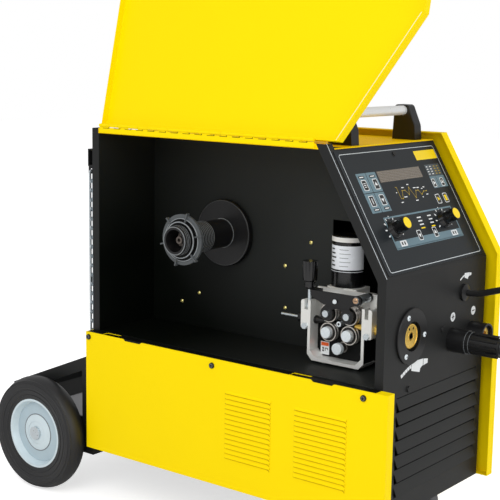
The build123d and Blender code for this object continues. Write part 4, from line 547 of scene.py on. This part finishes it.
for k in range(7):
    glint.prism(stroke([at(101.5, 60.0 + 2.6 * k), at(224.0, min(62.5 + 2.6 * k, 76.2))], 0.45),
                0.9, 1.15)
glint.make("window_glint", surface("window_glint", (140, 130, 118), 0.3, vary=0.03, edge=0.05),
           slot="window_plastic")

white.make("panel_print_white", print_white, slot="overlay_print")
dark.make("panel_print_dark", print_dark, slot="overlay_print")
yellow.make("panel_print_yellow", print_yellow, slot="overlay_print")
ochre.make("panel_print_ochre", print_ochre, slot="overlay_print")

# ---------------------------------------------------------------- knobs' caps
skirt = overlay_thick + 0.3
knob_top = skirt + 26.0
for knob, place in zip(("knob_left", "knob_right"), knob_places):
    u, v = at(*place)
    cap, pointer = Shape(face), Shape(face)
    cap.turn(u, v, [(0, knob_top - 1.0), (8.9, knob_top - 1.0), (8.9, knob_top + 0.5),
                    (8.4, knob_top + 0.9), (0, knob_top + 1.1)])
    for k in range(3):
        pointer.tile(u, v + 13.1 - 1.1 * k, 1.0, 1.0, 0.2,
                     skirt + 1.0 + 2.0 * k, skirt + 4.4 + 2.6 * k)
    cap.make(knob + "_cap", print_yellow, body=knob, slot="yellow_paint")
    pointer.make(knob + "_pointer", print_white, body=knob, slot="black_plastic")

# ---------------------------------------------------------------- prints on the front
marks = Shape(front)
signs = Shape(front)
for disc_y, sign in ((205.5, "plus"), (274.0, "minus")):
    u, v = near_y + disc_y, sill_z + 78.3
    marks.prism(ring_points(u, v, 7.4, 32), -0.3, 0.15)
    signs.tile(u, v, 8.8, 1.8, 0.2, 0.0, 0.25)
    if sign == "plus":
        signs.tile(u, v, 2.2, 8.4, 0.2, 0.0, 0.25)


def torch_mark(shape, u, v, wide, tall):
    """Pictogram of a welding torch: hose, grip, trigger and nozzle."""
    def spot(a, b):
        return u + a * wide, v + b * tall
    grip = ((-0.11, 0.50), (-0.11, -0.18), (0.20, -0.50), (0.22, -0.22), (0.32, -0.05), (0.32, 0.43))
    nozzle = ((0.34, -0.09), (0.50, -0.01), (0.50, 0.31), (0.34, 0.41))
    for outline in (grip, nozzle):
        shape.prism([spot(*place) for place in outline], -0.3, 0.15)
    dashes = 5
    for k in range(dashes):
        a, b = k / dashes, (k + 0.84) / dashes
        hose = [spot(-0.125 - 0.375 * t, 0.16 - 0.54 * t ** 1.3) for t in (a, (a + b) / 2, b)]
        shape.prism(stroke(hose, tall * 0.26), -0.3, 0.15)


torch_mark(marks, near_y + 243.0, sill_z + 139.5, 37.0, 11.0)
torch_mark(marks, near_y + 89.3, sill_z + 18.5, 80.0, 21.0)
marks.make("front_marks", print_white, slot="black_paint")
signs.make("front_signs", print_dark, slot="black_paint")

# ---------------------------------------------------------------- motor's band and label
motor_low, motor_high = extent("motor")
motor_x, motor_y = (motor_low.x + motor_high.x) / 2, (motor_low.y + motor_high.y) / 2
motor_r = (motor_high.x - motor_low.x) / 2
upright_plane = plane((0, 0, 0), (1, 0, 0), (0, 1, 0))


def sleeve(shape, r, low, high, start, end, steps=40):
    """Thin sheet bent round the motor from one angle to another."""
    angles = [math.radians(start + (end - start) * k / steps) for k in range(steps + 1)]
    ring = [(motor_x + q * math.cos(a), motor_y + q * math.sin(a))
            for q, order in ((r, angles), (r - 0.5, angles[::-1])) for a in order]
    rows = [[shape.point(u, v, w) for u, v in ring] for w in (low, high)]
    count = len(ring)
    for k in range(count):
        n = (k + 1) % count
        shape.mesh.faces.new((rows[0][k], rows[0][n], rows[1][n], rows[1][k]))
    for k in range(steps):
        inner = count - 1 - k
        for row in rows:
            shape.mesh.faces.new((row[k], row[k + 1], row[inner - 1], row[inner]))


band = Shape(upright_plane)
band.ring(motor_x, motor_y, motor_r - 0.6, motor_r + 0.35, motor_high.z - 9.5, motor_high.z - 2.2,
          sides=64)
band.make("motor_band", band_white, slot="motor_black")
label, label_rows, label_words = (Shape(upright_plane) for _ in range(3))
for low, high in ((54.0, 15.5), (57.6, 56.8)):
    sleeve(label, motor_r + 0.15, motor_high.z - low, motor_high.z - high, -185, 5)
for row in range(5):
    z = motor_high.z - 22.0 - 6.6 * row
    sleeve(label_rows, motor_r + 0.22, z, z + 0.8, -90, -58 + 7 * (row % 2), 8)
    sleeve(label_words, motor_r + 0.22, z - 0.6, z + 1.8, -132, -112 + 4 * (row % 3), 8)
label.make("motor_label", label_foil, slot="motor_black")
label_rows.make("motor_label_rows", print_grey, slot="motor_black")
label_words.make("motor_label_words", print_dark, slot="motor_black")

# ---------------------------------------------------------------- rivets on the bay's back wall
wall = facing_near(wall_y)
rivets = Shape(wall)
rivet_places = ((353.0, 180.0), (300.7, 134.7), (302.5, 62.3), (110.5, 62.3), (70.0, 42.0))
for rivet_x, rivet_z in rivet_places:
    rivets.turn(bay_x + rivet_x, sill_z + rivet_z,
                [(0, -0.2), (3.4, -0.2), (3.4, 0.6), (2.4, 1.6), (1.2, 1.9), (0.8, 0.9), (0, 0.9)],
                sides=20)
rivets.make("wall_rivets", pale_brass, slot="brass")

# ---------------------------------------------------------------- spool hub's threads and lock ring
hub = joint_place["spool_hub_spin"]
hub_plane = facing_near(0.0)
flange_face = 25.8          # stations along the hub, measured out from Y = 0
barrel_from, barrel_to = 78.0, 127.0
groove_face, collar_face = 133.9, 139.0
nose_from, nose_to = 140.4, 152.6
flange_r, barrel_r, nose_r = 57.2, 25.0, 24.0


def hoop(shape, r0, r1, low, high):
    """Flat ring about the hub."""
    shape.ring(hub.x, hub.z, r0, r1, low, high, sides=72)


def ribbed(shape, crest_highlights, low, high, pitch, core):
    """Ribs along the hub, with a painted highlight on each crest."""
    count = int((high - low) / pitch)
    crest = core + 1.2
    profile = [(core - 0.8, low)]
    for k in range(count):
        w = low + k * pitch
        profile += [(core, w), (crest, w + 0.30 * pitch), (crest, w + 0.60 * pitch),
                    (core, w + 0.85 * pitch)]
        hoop(crest_highlights, crest - 0.2, crest + 0.15, w + 0.30 * pitch, w + 0.58 * pitch)
    profile.append((core - 0.8, low + count * pitch))
    shape.turn(hub.x, hub.z, profile, sides=72, closed=True)


# Painted highlight: light rings on the crests of the hub's threads.
ribs, crest_highlights, flange_rim, ring_shade, ring_highlights = (Shape(hub_plane) for _ in range(5))
ribbed(ribs, crest_highlights, barrel_from, barrel_to, 4.1, barrel_r)
ribbed(ribs, crest_highlights, nose_from, nose_to, 3.6, nose_r)
hoop(crest_highlights, nose_r - 1.4, nose_r, nose_to, nose_to + 0.7)
hoop(crest_highlights, barrel_r - 0.1, barrel_r + 0.9, flange_face + 1.2, flange_face + 2.2)
hoop(flange_rim, flange_r - 0.9, flange_r, flange_face, flange_face + 0.5)
# Lock ring: painted shade in its groove and painted highlights on its edges.
hoop(ring_shade, 31.1, 35.4, groove_face, groove_face + 0.5)
hoop(ring_shade, 25.2, 29.6, collar_face + 0.9, collar_face + 1.2)
hoop(ring_shade, 30.9, 31.25, groove_face + 0.3, collar_face)
hoop(ring_highlights, 35.4, 36.4, groove_face, groove_face + 1.5)
hoop(ring_highlights, 29.6, 31.2, collar_face, collar_face + 1.4)
flange_rim.make("hub_flange_rim", surface("rim_grey", (58, 60, 61), 0.4, vary=0.1, edge=0.2),
                body="spool_hub", slot="black_plastic")
ribs.make("hub_ribs", deep_black, body="spool_hub", slot="black_plastic")
crest_highlights.make("hub_thread_crests", thread_light, body="spool_hub", slot="black_plastic")
ring_shade.make("lock_ring_groove_shade", deep_black, body="hub_lock_ring", slot="grey_plastic")
ring_highlights.make("lock_ring_edge_highlights", surface("ring_highlights", (150, 155, 158), 0.36, vary=0.06, edge=0.3),
                body="hub_lock_ring", slot="grey_plastic")

# ---------------------------------------------------------------- drive: rolls, knobs and screws
roll_front = 87.0           # faces of the rolls, measured out from Y = 0
arm_front = -extent("pressure_arm")[0].y
frame_half = 53.3           # half the width of the drive's frame
drive_plane = facing_near(0.0)


def knob_cap(body, centre, front, back):
    """Bright cap on a roll's or the main gear's knob."""
    cap = Shape(drive_plane)
    cap.turn(centre.x, centre.z, [(0, front + 0.25), (8.2, front + 0.25), (9.15, front - 0.6),
                                  (9.15, back), (8.8, back), (8.8, front - 0.9),
                                  (8.0, front - 0.2), (0, front - 0.2)], sides=48)
    cap.make(body + "_knob_cap", zinc_knob, body=body, slot="machined_steel")


for side in ("left", "right"):
    for row, hub_r in (("lower", 9.4), ("upper", 6.2)):
        roll = row + "_roll_" + side
        centre = joint_place[f"{row}_{side}_spin"]
        disc, edge_ring = Shape(drive_plane), Shape(drive_plane)
        for shape, r0, r1, low, high in ((disc, hub_r, 12.4, -1.7, -0.9),
                                         (disc, 12.3, 13.6, -0.2, 0.12),
                                         (edge_ring, 13.6, 15.05, -0.3, 0.22)):
            shape.ring(centre.x, centre.z, r0, r1, roll_front + low, roll_front + high, sides=56)
        disc.make(roll + "_face", roll_face, body=roll, slot="machined_steel")
        edge_ring.make(roll + "_edge", roll_edge, body=roll, slot="machined_steel")
        if row == "lower":
            knob_cap(roll, centre, 95.5, 88.2)
knob_cap("drive_gear", joint_place["drive_gear_spin"], 92.0, 84.0)

pin, pivot, slit, hub_sleeve = (Shape(drive_plane) for _ in range(4))
pin.turn(drive_x, sill_z + 108.0, [(0, arm_front + 1.7), (2.9, arm_front + 1.7),
                                   (3.7, arm_front + 1.0), (3.7, arm_front - 0.3),
                                   (0, arm_front - 0.3)])
pin.make("arm_centre_pin", zinc_knob, body="pressure_arm", slot="black_plastic")
pivot_x, pivot_z = drive_x + 39.5, sill_z + 115.0
pivot.turn(pivot_x, pivot_z, [(0, arm_front + 3.1), (4.0, arm_front + 3.1), (4.8, arm_front + 2.5),
                              (4.8, arm_front + 1.2), (0, arm_front + 1.2)])
pivot.make("pivot_screw", copper, slot="zinc_steel")
# Painted shade: a dark slit on the screw's head for its slot.
slit.tile(pivot_x, pivot_z, 6.8, 1.0, 0.2, arm_front + 2.6, arm_front + 3.25)
slit.make("pivot_slot_shade", print_dark, slot="zinc_steel")
hub_sleeve.ring(pivot_x, pivot_z, 6.9, 7.2, 68.0, arm_front - 7.0, sides=56)
hub_sleeve.make("arm_hub_sleeve", finishes["zinc_steel"], body="pressure_arm", slot="black_plastic")

guide, guide_hole_shade = Shape(drive_plane), Shape(drive_plane)
guide_face = roll_front - 0.7
guide.turn(drive_x, wire_z, [(2.0, guide_face), (4.3, guide_face), (4.3, guide_face + 0.5),
                             (3.8, guide_face + 0.9), (2.0, guide_face + 0.9)], closed=True)
guide.make("guide_ring", zinc_knob, slot="zinc_steel")
# Painted shade: a dark disc in the guide ring's hole.
guide_hole_shade.prism(ring_points(drive_x, wire_z, 2.1, 24), guide_face, guide_face + 0.5)
guide_hole_shade.make("guide_hole_shade", deep_black, slot="zinc_steel")

inlet_x = drive_x - frame_half
inlet = Shape(plane((0, wire_y, wire_z), (0, 1, 0), (0, 0, 1)))
inlet.turn(0, 0, [(6.7, inlet_x + 5.2), (6.7, inlet_x + 8.2), (5.2, inlet_x + 8.2),
                  (3.15, inlet_x + 23.8), (2.6, inlet_x + 23.8), (2.6, inlet_x + 5.2)], closed=True)
inlet.turn(0, 0, [(2.5, inlet_x - 25.2), (8.4, inlet_x - 25.2), (8.4, inlet_x - 13.7),
                  (7.4, inlet_x - 13.7), (7.4, inlet_x - 24.4), (2.5, inlet_x - 24.4)], sides=14,
           closed=True)
inlet.make("inlet_sleeves", finishes["black_plastic"], slot="zinc_steel")

frame_side = Shape(plane((drive_x + frame_half, 0, 0), (0, 1, 0), (0, 0, 1)))
frame_side.slab(near_y + 61.2, sill_z + 16.0, near_y + 98.0, sill_z + 55.0, 1.0, -0.1, 0.3)
frame_side.make("frame_side_skin", deep_black, slot="cast_aluminium")

# ---------------------------------------------------------------- gear cover's sticker
sticker, sticker_top, sticker_mark = (Shape(facing_near(near_y + 82.0)) for _ in range(3))
tag_x, tag_z = drive_x - 33.5, sill_z + 24.0
sticker.tile(tag_x, tag_z, 16.4, 21.0, 0.6, -0.1, 0.15)
sticker_top.tile(tag_x, tag_z + 6.5, 14.4, 5.8, 0.4, 0.0, 0.25)
for u0, v0, u1, v1 in ((-5, -2, -2, 1), (-5, -6, -2, -3), (0, -5, 1.2, 0.5),
                       (1.2, -0.7, 5.5, 0.5), (4.3, -3.0, 5.5, 0.5)):
    sticker_mark.slab(tag_x + u0, tag_z + v0, tag_x + u1, tag_z + v1, 0.4, 0.0, 0.25)
sticker.make("cover_sticker", print_white, slot="black_plastic")
sticker_top.make("cover_sticker_band", print_orange, slot="black_plastic")
sticker_mark.make("cover_sticker_marks", print_dark, slot="black_plastic")

# ---------------------------------------------------------------- power plug's rings
plug_x = extent("power_sockets")[1].x
plug_ring_r = 18.0
collar = Shape(plane((0, plus_y, power_z), (0, 1, 0), (0, 0, 1)))
for ring_x in (plug_x + 0.2, plug_x + 7.2):
    collar.ring(0, 0, plug_ring_r - 0.5, plug_ring_r + 0.15, ring_x, ring_x + 0.6, sides=64)
collar.make("plug_rings", thread_light, slot="black_plastic")

# ---------------------------------------------------------------- torch socket's screws and lips
screw_circle = 34.0
connector_face = 0.3
flange_screws, flange_slots, pin_holes, brass_lip, bore_shade = (Shape(front) for _ in range(5))
for angle in (-4, 116, 236):
    u = wire_y + screw_circle * math.cos(math.radians(angle))
    v = wire_z + screw_circle * math.sin(math.radians(angle))
    flange_screws.turn(u, v, [(0, 6.0), (2.4, 5.9), (4.1, 5.0), (4.1, 3.8), (0, 3.8)], sides=28)
    # Painted shade: a darker hexagon on each head for its socket.
    flange_slots.prism(ring_points(u, v, 1.7, 6), 5.2, 6.1)
# Painted shade: dark discs on the two pin holes and a dark lining inside the bore.
for side in (-1, 1):
    pin_holes.prism(ring_points(wire_y + 5.6 * side, wire_z + 11.5, 1.9, 16), connector_face, 0.62)
pin_holes.ring(wire_y, wire_z, 4.85, 5.05, -18.0, connector_face)
brass_lip.turn(wire_y, wire_z, [(16.8, connector_face), (18.7, connector_face), (18.7, 0.9),
                                (17.2, 1.4), (16.8, 1.0)], sides=56, closed=True)
brass_lip.turn(wire_y, wire_z, [(6.9, connector_face), (8.3, connector_face), (8.0, 1.0),
                                (7.1, 1.0)], sides=40, closed=True)
bore_shade.ring(wire_y, wire_z, 5.05, 6.9, 0.25, 0.5)
flange_screws.make("flange_screws", zinc_knob, slot="black_plastic")
flange_slots.make("flange_screw_socket_shade", print_grey, slot="black_plastic")
bore_shade.make("connector_bore_shade", surface("brass_shade", (128, 84, 22), 0.35, metal=0.5,
                                                vary=0.1, patch=3.0, edge=0.2), slot="brass")
pin_holes.make("connector_hole_shade", deep_black, slot="brass")
brass_lip.make("connector_lips", finishes["brass"], slot="brass")

# ---------------------------------------------------------------- hinge's slots, as painted shade
leaf_low, leaf_high = extent("lid_hinge")
slot_count = 17
slot_pitch = (leaf_high.x - leaf_low.x - 10.0) / slot_count
slots = Shape(facing_near(near_y - 1.2))
for k in range(slot_count):
    x, z = leaf_low.x + 8.0 + k * slot_pitch, leaf_high.z - 7.4
    slots.slab(x, z - 0.45, x + 0.56 * slot_pitch, z + 0.45, 0.2, -0.1, 0.15)
    slots.slab(x + 0.54 * slot_pitch, z - 0.45, x + 0.60 * slot_pitch, z + 1.9, 0.2, -0.1, 0.15)
# Painted shade: dark dashes on the hinge's leaf where its slots are.
slots.make("hinge_slot_shade", surface("slot_shade", (112, 92, 0), 0.5, vary=0.05, edge=0.1, spec=0.1),
           slot="yellow_paint")

# ---------------------------------------------------------------- lid's fold line, a painted highlight
hinge = joint_place["lid_swing"]
fold_out = 8.0              # how far the line lies in front of the machine's sloping face
fold = Shape(plane((0, hinge.y, hinge.z), (1, 0, 0), (0, math.sin(lid_lean), math.cos(lid_lean))))
fold_line = [(slope_x(z) + fold_out / math.cos(slope), hinge.z - z)
             for z in (hinge.z - 3.2, break_z + fold_out * math.tan(slope / 2))]
# Painted highlight: a pale line along the lid's fold.
fold.prism(stroke(fold_line, 1.1), -14.9, -14.6)
fold.make("lid_fold_highlight", surface("fold_highlight", (255, 250, 205), 0.4, vary=0.02, edge=0.1),
          body="lid", slot="yellow_paint")

# ---------------------------------------------------------------- top cover's edge, and a patch of painted shade
top_z = sill_z + bay_height
edge_x = slope_x(top_z)
on_top = plane((0, 0, top_z + sheet), (1, 0, 0), (0, 1, 0))
top_edge, corner = Shape(on_top), Shape(on_top)
top_edge.slab(edge_x - 2.6, near_y + 17.5, edge_x - 0.3, far_y - 3.0, 0.3, -0.2, 0.3)
# Painted shade: a black patch on the top, where the lid and the handle's bracket shade it.
corner.slab(edge_x - 36.0, near_y + 17.5, edge_x - 3.0, near_y + 40.0, 1.0, -0.2, 0.3)
top_edge.make("top_cover_edge", finishes["yellow_paint"], slot="yellow_paint")
corner.make("top_cover_shade_patch", deep_black, slot="black_paint")

# ---------------------------------------------------------------- boards behind the covers, as painted shade inside the body
margin = 4.0
board_top = top_z - margin
# Painted shade: dark boards inside the covers, where the inside of the body lies in shade.
boards = Shape(facing_near(far_y - 2.0))
boards.prism([(rear_x + margin, floor_z + margin), (front_x - margin, floor_z + margin),
              (front_x - margin, break_z), (slope_x(board_top) - 5.0, board_top),
              (rear_x + margin, board_top)], 0.0, sheet)
boards.on = facing_near(near_y + 4.5)
boards.prism([(rear_x + margin, floor_z + margin), (front_x - margin, floor_z + margin),
              (front_x - margin, sill_z - 24.0), (rear_x + margin, sill_z - 24.0)], 0.0, sheet)
boards.make("inner_shade_boards", deep_black, slot="black_paint")

# Painted light: a pale grey mat on the tray, for the light falling on it from above.
mat = Shape(plane((0, 0, sill_z - 182.0), (1, 0, 0), (0, 1, 0)))
mat.slab(rear_x - 180.0, -150.0, rear_x - margin, 150.0, 6.0, -0.1, 0.4)
mat.make("tray_lit_patch", surface("tray_lit_grey", (148, 148, 150), 0.6, vary=0.06, patch=30.0, edge=0.4,
                             spec=0.3), slot="black_paint")

# ---------------------------------------------------------------- sill trim
latch_places = (bay_x + 40.0, front_x - 143.0)
latch_half = 17.1
on_sill = plane((0, 0, sill_z), (1, 0, 0), (0, 1, 0))
trim = Shape(on_sill)
stops = [rear_x + 2.0]
for x in latch_places:
    stops += [x - latch_half, x + latch_half]
stops.append(front_x - 2.0)
for x0, x1 in zip(stops[::2], stops[1::2]):
    trim.slab(x0, near_y - 16.4, x1, near_y - 0.1, 0.1, 0.0, 0.3)
for x in latch_places:
    trim.slab(x - latch_half - 0.1, near_y - 1.4, x + latch_half + 0.1, near_y - 0.1, 0.1, 0.0, 0.3)
for notch_x in (bay_x + 97.0, front_x - 96.0):
    trim.on = on_sill
    trim.slab(notch_x - 21.0, near_y - 18.2, notch_x + 21.0, near_y - 16.3, 0.2, 0.0, 0.25)
    trim.on = facing_near(skin_y)
    trim.prism([(notch_x - 21.0, sill_z + 0.25), (notch_x - 17.0, sill_z - 2.8),
                (notch_x + 17.0, sill_z - 2.8), (notch_x + 21.0, sill_z + 0.25)], 0.0, 0.25)
trim.make("sill_trim", deep_black, slot="black_paint")

# ---------------------------------------------------------------- louvres' painted shade, cover's screws
louvre_rows, louvre_pitch = 14, 8.3
shades, dots = Shape(facing_near(skin_y)), Shape(facing_near(skin_y))
# Painted shade: an ochre strip under each louvre's hood and a dark dot at its left end.
for x0, x1 in ((front_x - 284.4, front_x - 192.6), (front_x - 146.4, front_x - 50.2)):
    for row in range(louvre_rows):
        z = sill_z - 52.8 - louvre_pitch * row
        shades.prism(stroke([(x0 + 2.0, z - 1.0), (x1 - 7.0, z - 1.0), (x1 - 3.0, z - 2.0),
                             (x1 - 0.8, z - 4.6)], 1.7), 0.0, 0.12)
        dots.slab(x0 - 1.0, z - 1.2, x0 + 2.0, z + 1.4, 0.8, 0.0, 0.2)
shades.make("louvre_shades", louvre_painted_shade, slot="yellow_paint")
dots.make("louvre_end_shade", print_dark, slot="yellow_paint")
sockets = Shape(facing_near(skin_y - 2.6))
for screw_x, screw_z in ((bay_x - 8.0, sill_z - 9.0), (bay_x + 274.5, sill_z - 12.0),
                         (front_x - 22.0, sill_z - 11.0)):
    sockets.turn(screw_x, screw_z, [(2.3, -0.3), (3.2, -0.3), (3.0, 0.35), (2.4, 0.35)], sides=24,
                 closed=True)
sockets.make("cover_screw_sockets", thread_light, slot="black_paint")

# ---------------------------------------------------------------- tyres' ridges and rims' dishes
wheel_face = extent("tyre_far")[1].y
ridge_profiles = (               # radius, and depth behind the tyre's outer face
    ((86.5, 1.1), (88.0, 0.05), (92.6, 0.25), (93.4, 1.4), (93.0, 2.4), (86.5, 2.4)),
    ((79.2, 1.8), (80.0, 0.4), (81.4, 0.2), (82.0, 1.4)),
    ((69.6, 4.0), (70.4, 2.4), (72.0, 2.1), (72.8, 3.2)),
    ((96.4, 2.4), (97.0, 1.4), (98.4, 2.0), (99.0, 3.4)))
dish_profile = ((54.4, 16.4), (34.6, 14.5), (34.6, 15.0), (54.4, 17.0))
disc_profile = ((33.4, 14.2), (20.6, 10.6), (20.6, 11.1), (33.4, 14.8))
line_profile = ((34.8, 15.0), (34.8, 14.1), (33.2, 13.9), (33.2, 14.8))
for side, name in ((1, "near"), (-1, "far")):
    spin = joint_place[f"wheel_{name}_spin"]
    ridges, dish, disc, line = (
        Shape(plane((spin.x, 0, spin.z), (side, 0, 0), (0, 0, 1))) for _ in range(4))
    turned = [(ridges, profile, 96) for profile in ridge_profiles]
    turned += [(dish, dish_profile, 72), (disc, disc_profile, 64), (line, line_profile, 64)]
    for shape, profile, sides in turned:
        shape.turn(0, 0, [(r, wheel_face - depth) for r, depth in profile], sides, closed=True)
    ridges.make(f"tyre_{name}_ridges", finishes["tyre_rubber"], body=f"wheel_{name}",
                slot="tyre_rubber")
    dish.make(f"rim_{name}_dish", rim_shade, body=f"wheel_{name}", slot="zinc_steel")
    disc.make(f"rim_{name}_disc", rim_paint, body=f"wheel_{name}", slot="zinc_steel")
    line.make(f"rim_{name}_line", print_grey, body=f"wheel_{name}", slot="zinc_steel")

# ---------------------------------------------------------------- floor, light and backdrop
floor = Shape(plane((0, 0, 0), (1, 0, 0), (0, 1, 0)))
floor.prism(round_box(-9000, -9000, 9000, 9000, 300), -20.0, 0.0)
bmesh.ops.recalc_face_normals(floor.mesh, faces=floor.mesh.faces[:])
floor_mesh = bpy.data.meshes.new("floor")
floor.mesh.to_mesh(floor_mesh)
floor_object = bpy.data.objects.new("floor", floor_mesh)
bpy.context.scene.collection.objects.link(floor_object)
floor_object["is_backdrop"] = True
paper = bpy.data.materials.new("floor_paper")
paper.use_nodes = True
tree = paper.node_tree
paper_shader = tree.nodes["Principled BSDF"]
paper_shader.inputs["Base Color"].default_value = (0.86, 0.86, 0.86, 1)
paper_shader.inputs["Roughness"].default_value = 0.9
glow = tree.nodes.new("ShaderNodeEmission")
rays = tree.nodes.new("ShaderNodeLightPath")
seen = tree.nodes.new("ShaderNodeMath")
seen.operation = "MULTIPLY"
tree.links.new(rays.outputs["Is Camera Ray"], seen.inputs[0])
seen.inputs[1].default_value = 0.6
tree.links.new(seen.outputs[0], glow.inputs["Strength"])
both = tree.nodes.new("ShaderNodeAddShader")
tree.links.new(paper_shader.outputs[0], both.inputs[0])
tree.links.new(glow.outputs[0], both.inputs[1])
tree.links.new(both.outputs[0], tree.nodes["Material Output"].inputs["Surface"])
floor_mesh.materials.append(paper)

world = bpy.data.worlds.new("studio")
bpy.context.scene.world = world
world.use_nodes = True
tree = world.node_tree
soft = tree.nodes["Background"]
soft.inputs["Color"].default_value = (1, 1, 1, 1)
soft.inputs["Strength"].default_value = 0.62
seen_white = tree.nodes.new("ShaderNodeBackground")
seen_white.inputs["Color"].default_value = (1, 1, 1, 1)
seen_white.inputs["Strength"].default_value = 1.0
rays = tree.nodes.new("ShaderNodeLightPath")
either = tree.nodes.new("ShaderNodeMath")
either.operation = "MAXIMUM"
tree.links.new(rays.outputs["Is Camera Ray"], either.inputs[0])
tree.links.new(rays.outputs["Is Transmission Ray"], either.inputs[1])
pick = tree.nodes.new("ShaderNodeMixShader")
tree.links.new(either.outputs[0], pick.inputs[0])
tree.links.new(soft.outputs[0], pick.inputs[1])
tree.links.new(seen_white.outputs[0], pick.inputs[2])
tree.links.new(pick.outputs[0], tree.nodes["World Output"].inputs["Surface"])


def softbox(name, place, target, size, power):
    """Square area light of that size in metres, pointed at the target."""
    lamp = bpy.data.lights.new(name, "AREA")
    lamp.size = size
    lamp.energy = power
    box = bpy.data.objects.new(name, lamp)
    box.location = place
    aim = Vector(target) - Vector(place)
    box.rotation_euler = aim.to_track_quat("-Z", "Y").to_euler()
    bpy.context.scene.collection.objects.link(box)


softbox("key", (0.9, -2.6, 2.3), (0.1, 0, 0.4), 2.2, 46)
softbox("side", (3.0, -0.3, 1.3), (0.3, 0, 0.4), 2.0, 24)

low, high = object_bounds()
